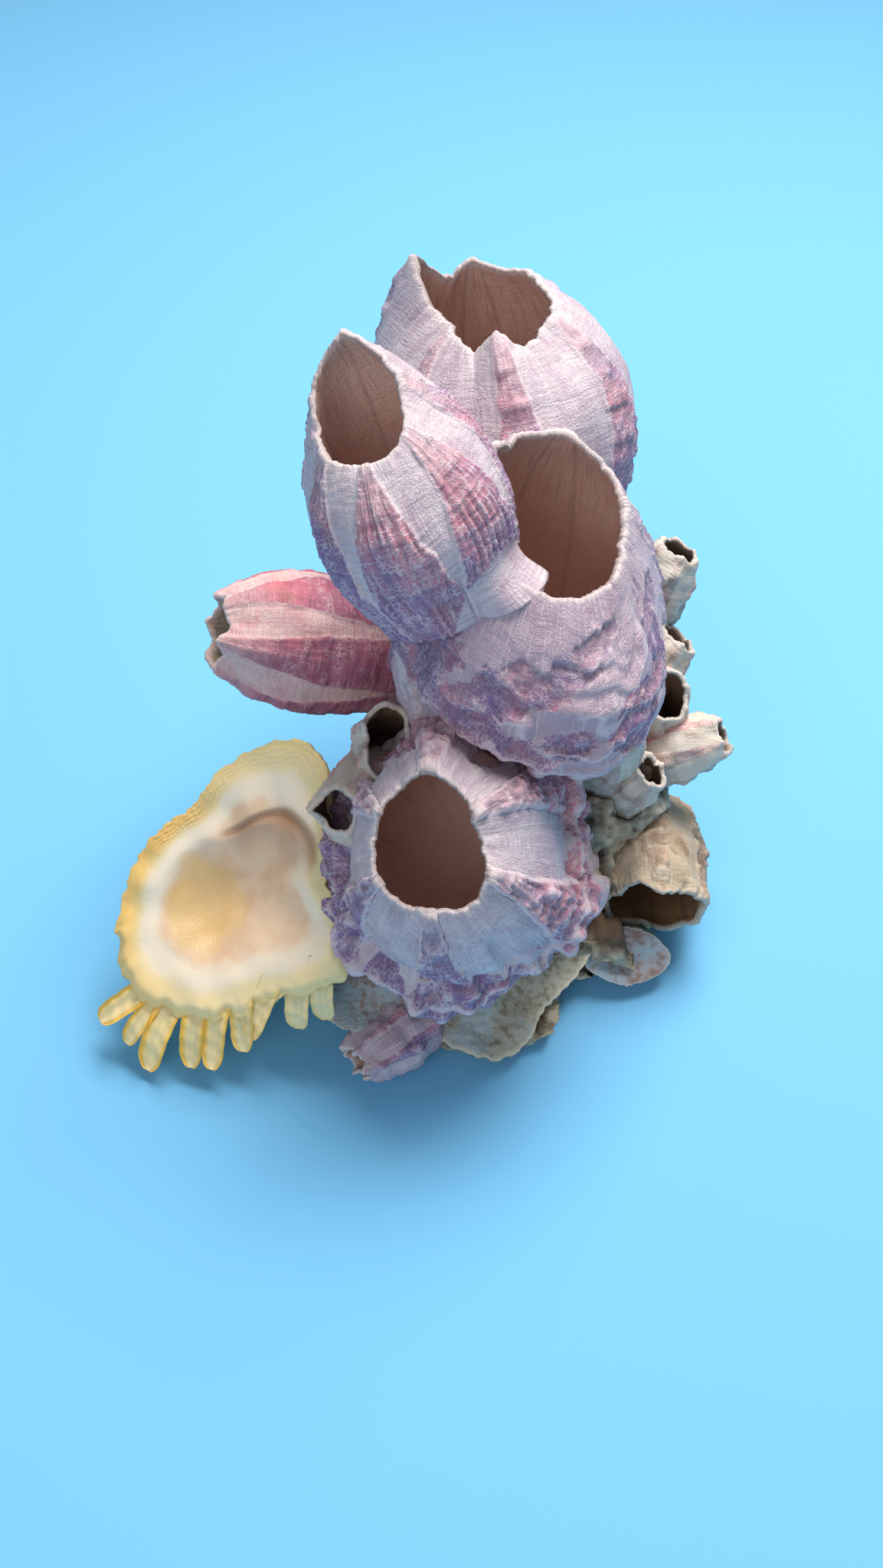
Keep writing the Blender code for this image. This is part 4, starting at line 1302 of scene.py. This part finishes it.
def plate_finish(name, base, second, spot, edge, spots):
    """A mottled finish with a pale edge, brown spots and a back darkened as painted shade."""
    material, tree, grain = new_finish(name)
    blotch, small, fine = lines_at(tree, grain, (0.16, 0.16, 5.0), (0.7, 0.7, 5.0), (2.6, 2.6, 4.0))
    spotted = sums(tree, "ADD", small, sums(tree, "MULTIPLY", blotch, 0.5))
    colour = layered(
        tree,
        blended(tree, between(tree, blotch, 0.4, 0.62), base, second),
        (between(tree, small, 0.5, 0.68, 0.0, 0.7), edge),
        (between(tree, spotted, 0.78 - spots, 1.0 - spots, 0.0, 0.75), spot),
        (between(tree, field(tree, "rim"), 0.93, 1.0, 0.0, 0.8), edge),
        # Painted shade: the back, which faces down, is darkened.
        (sums(tree, "SUBTRACT", 1.0, field(tree, "front")), tuple(v * 0.55 for v in base)),
    )
    dull = between(tree, small, 0.3, 0.7, 0.6, 0.85)
    finished(tree, colour, dull, sums(tree, "MULTIPLY_ADD", small, 1.2, fine), 0.6, 0.0004)
    return material


mottled_finish = plate_finish(
    "mottled_shell",
    base=paint(170, 186, 186),
    second=paint(178, 174, 154),
    spot=paint(112, 94, 72),
    edge=paint(216, 210, 186),
    spots=0.03,
)
blue_finish = plate_finish(
    "blue_shell",
    base=paint(164, 180, 188),
    second=paint(172, 158, 156),
    spot=paint(126, 88, 72),
    edge=paint(208, 206, 194),
    spots=0.07,
)
for valve, fineness, material, slot in (
    (ledge_valve, (190, 54), mottled_finish, "plate_shell"),
    (flake_valve, (120, 32), blue_finish, "plate_shell"),
    (clam_valve, (120, 32), blue_finish, "pale_shell"),
):
    place, height, facing, flat, share, front, angle = valve_rings(valve, *fineness)
    bumps = 0.5 * lumpy(place, 2.2) + 0.25 * lumpy(place, 0.9)
    height = height + front * bumps * valve.lumps * 0.7 * np.clip(6 - 6 * share, 0, 1)
    fields = {"rim": share, "front": front, "grain": flat}
    shell = shell_object(valve.name + "_shell", place + facing * height[..., None], fields)
    finish_piece(shell, material, slot, valve.name)

# Crust: what everything grows on, old shell, worm tubes and lime run together into a rough,
# pitted lump, cut flat below. It is rebuilt finer here from the lump's own solid.
CRUST_CELL = 0.8 * MM
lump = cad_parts["crust_base"]
rebuilt = put_in("crust_lump", lump.data.copy())
rebuilt.data.materials.clear()
cells = rebuilt.modifiers.new("cells", "REMESH")
cells.mode = "VOXEL"
cells.voxel_size = CRUST_CELL
smoother = rebuilt.modifiers.new("smoother", "SMOOTH")
smoother.iterations = 12
smoother.factor = 0.6
graph = bpy.context.evaluated_depsgraph_get()
crust_data = bpy.data.meshes.new_from_object(rebuilt.evaluated_get(graph))
bpy.data.objects.remove(rebuilt)
count = len(crust_data.vertices)
points = np.zeros(count * 3)
crust_data.vertices.foreach_get("co", points)
points = points.reshape(-1, 3) / MM
normals = np.zeros(count * 3)
crust_data.vertex_normals.foreach_get("vector", normals)
normals = normals.reshape(-1, 3)
lumps = lumpy(points, 6.0) + 0.5 * lumpy(points + 40, 2.8)
grit = lumpy(points, 1.3) + 0.5 * lumpy(points + 11, 0.7)
pits = np.maximum(0.0, lumpy(points + 70, 3.6) - 0.12)
pits = pits + 0.6 * np.maximum(0.0, lumpy(points + 90, 1.7) - 0.2)
tubes = 1 - np.minimum(1.0, np.abs(lumpy(points + 130, 9.0)) / 0.09) ** 2
tubes = tubes * rise_over(lumpy(points + 200, 14.0), 0.05, 0.2)
# The cavity between the front barnacle and the old shell, dented in and painted dark brown as shade, and
# how far it reaches.
CAVITY = (34.5, -23.0, 15.0)
CAVITY_REACH = 7.0
# How high the lumps, the grit and the worm tubes stand and how deep the pits and the cavity go,
# in millimetres for a full mark.
LUMP_HEIGHT = 0.8
GRIT_HEIGHT = 0.3
TUBE_HEIGHT = 1.0
PIT_DEPTH = 3.0
CAVITY_DEPTH = 2.4
cavity = np.exp(-(np.linalg.norm(points - np.array(CAVITY), axis=1) / CAVITY_REACH) ** 2)
cavity = np.clip(cavity * (1.1 + 0.9 * lumpy(points + 240, 2.5)), 0, 1)
push = LUMP_HEIGHT * lumps + GRIT_HEIGHT * grit - PIT_DEPTH * pits + TUBE_HEIGHT * tubes
push = push - CAVITY_DEPTH * cavity
# The cut below stays flat.
above = rise_over(points[:, 2], 0.3, 2.0)
points = points + normals * (push * above)[:, None]
points = pressed(points - SHIFT, hollow_ones) + SHIFT
# At the old shell's mouth, right of CLEAR_RIGHT and in front of CLEAR_FRONT, most of what stands
# higher than CLEAR_TOP is taken down.
CLEAR_RIGHT = 36.5
CLEAR_FRONT = -17.0
CLEAR_TOP = 6.5
TAKEN_DOWN = 0.9
cleared = rise_over(points[:, 0] - CLEAR_RIGHT, 0.0, 2.0)
cleared = cleared * rise_over(CLEAR_FRONT - points[:, 1], 0.0, 2.0)
points[:, 2] -= TAKEN_DOWN * cleared * np.maximum(0.0, points[:, 2] - CLEAR_TOP)
points[:, 2] = np.maximum(points[:, 2], 0.0)
crust_data.vertices.foreach_set("co", (points * MM).ravel())
crust_fields = {
    "pits": np.clip(pits * 3.0, 0, 1),
    "tubes": tubes,
    "crest": np.clip(0.5 + 0.6 * lumps, 0, 1),
    "cavity": cavity,
    "grain": points,
}
for label, values in crust_fields.items():
    keep_field(crust_data, label, values)
crust_data.shade_smooth()
crust_data.name = "crust"
crust = put_in("crust", crust_data)

crust_finish, tree, grain = new_finish("crust")
blotch, small, fine = lines_at(tree, grain, (0.12, 0.12, 5.0), (0.5, 0.5, 5.0), (2.2, 2.2, 4.0))
colour = layered(
    tree,
    blended(tree, between(tree, blotch, 0.38, 0.62), paint(178, 166, 140), paint(158, 162, 150)),
    (between(tree, small, 0.5, 0.66, 0.0, 0.8), paint(206, 194, 164)),
    (between(tree, small, 0.28, 0.44, 0.75, 0.0), paint(112, 92, 66)),
    (between(tree, fine, 0.55, 0.7, 0.0, 0.4), paint(92, 74, 54)),
    (between(tree, field(tree, "crest"), 0.6, 0.95, 0.0, 0.5), paint(216, 206, 184)),
    (sums(tree, "MULTIPLY", field(tree, "tubes"), 0.6), paint(220, 212, 192)),
    # Painted shade: the cavity is darkened brown.
    (between(tree, field(tree, "cavity"), 0.1, 0.7, 0.0, 0.9), paint(88, 62, 42)),
    # Painted shade: the pits are darkened.
    (sums(tree, "MULTIPLY", field(tree, "pits"), 0.85), paint(58, 44, 32)),
)
dull = between(tree, small, 0.3, 0.7, 0.75, 0.95)
finished(tree, colour, dull, sums(tree, "MULTIPLY_ADD", small, 1.5, fine), 0.7, 0.0005)
finish_piece(crust, crust_finish, "crust", "crust_base")
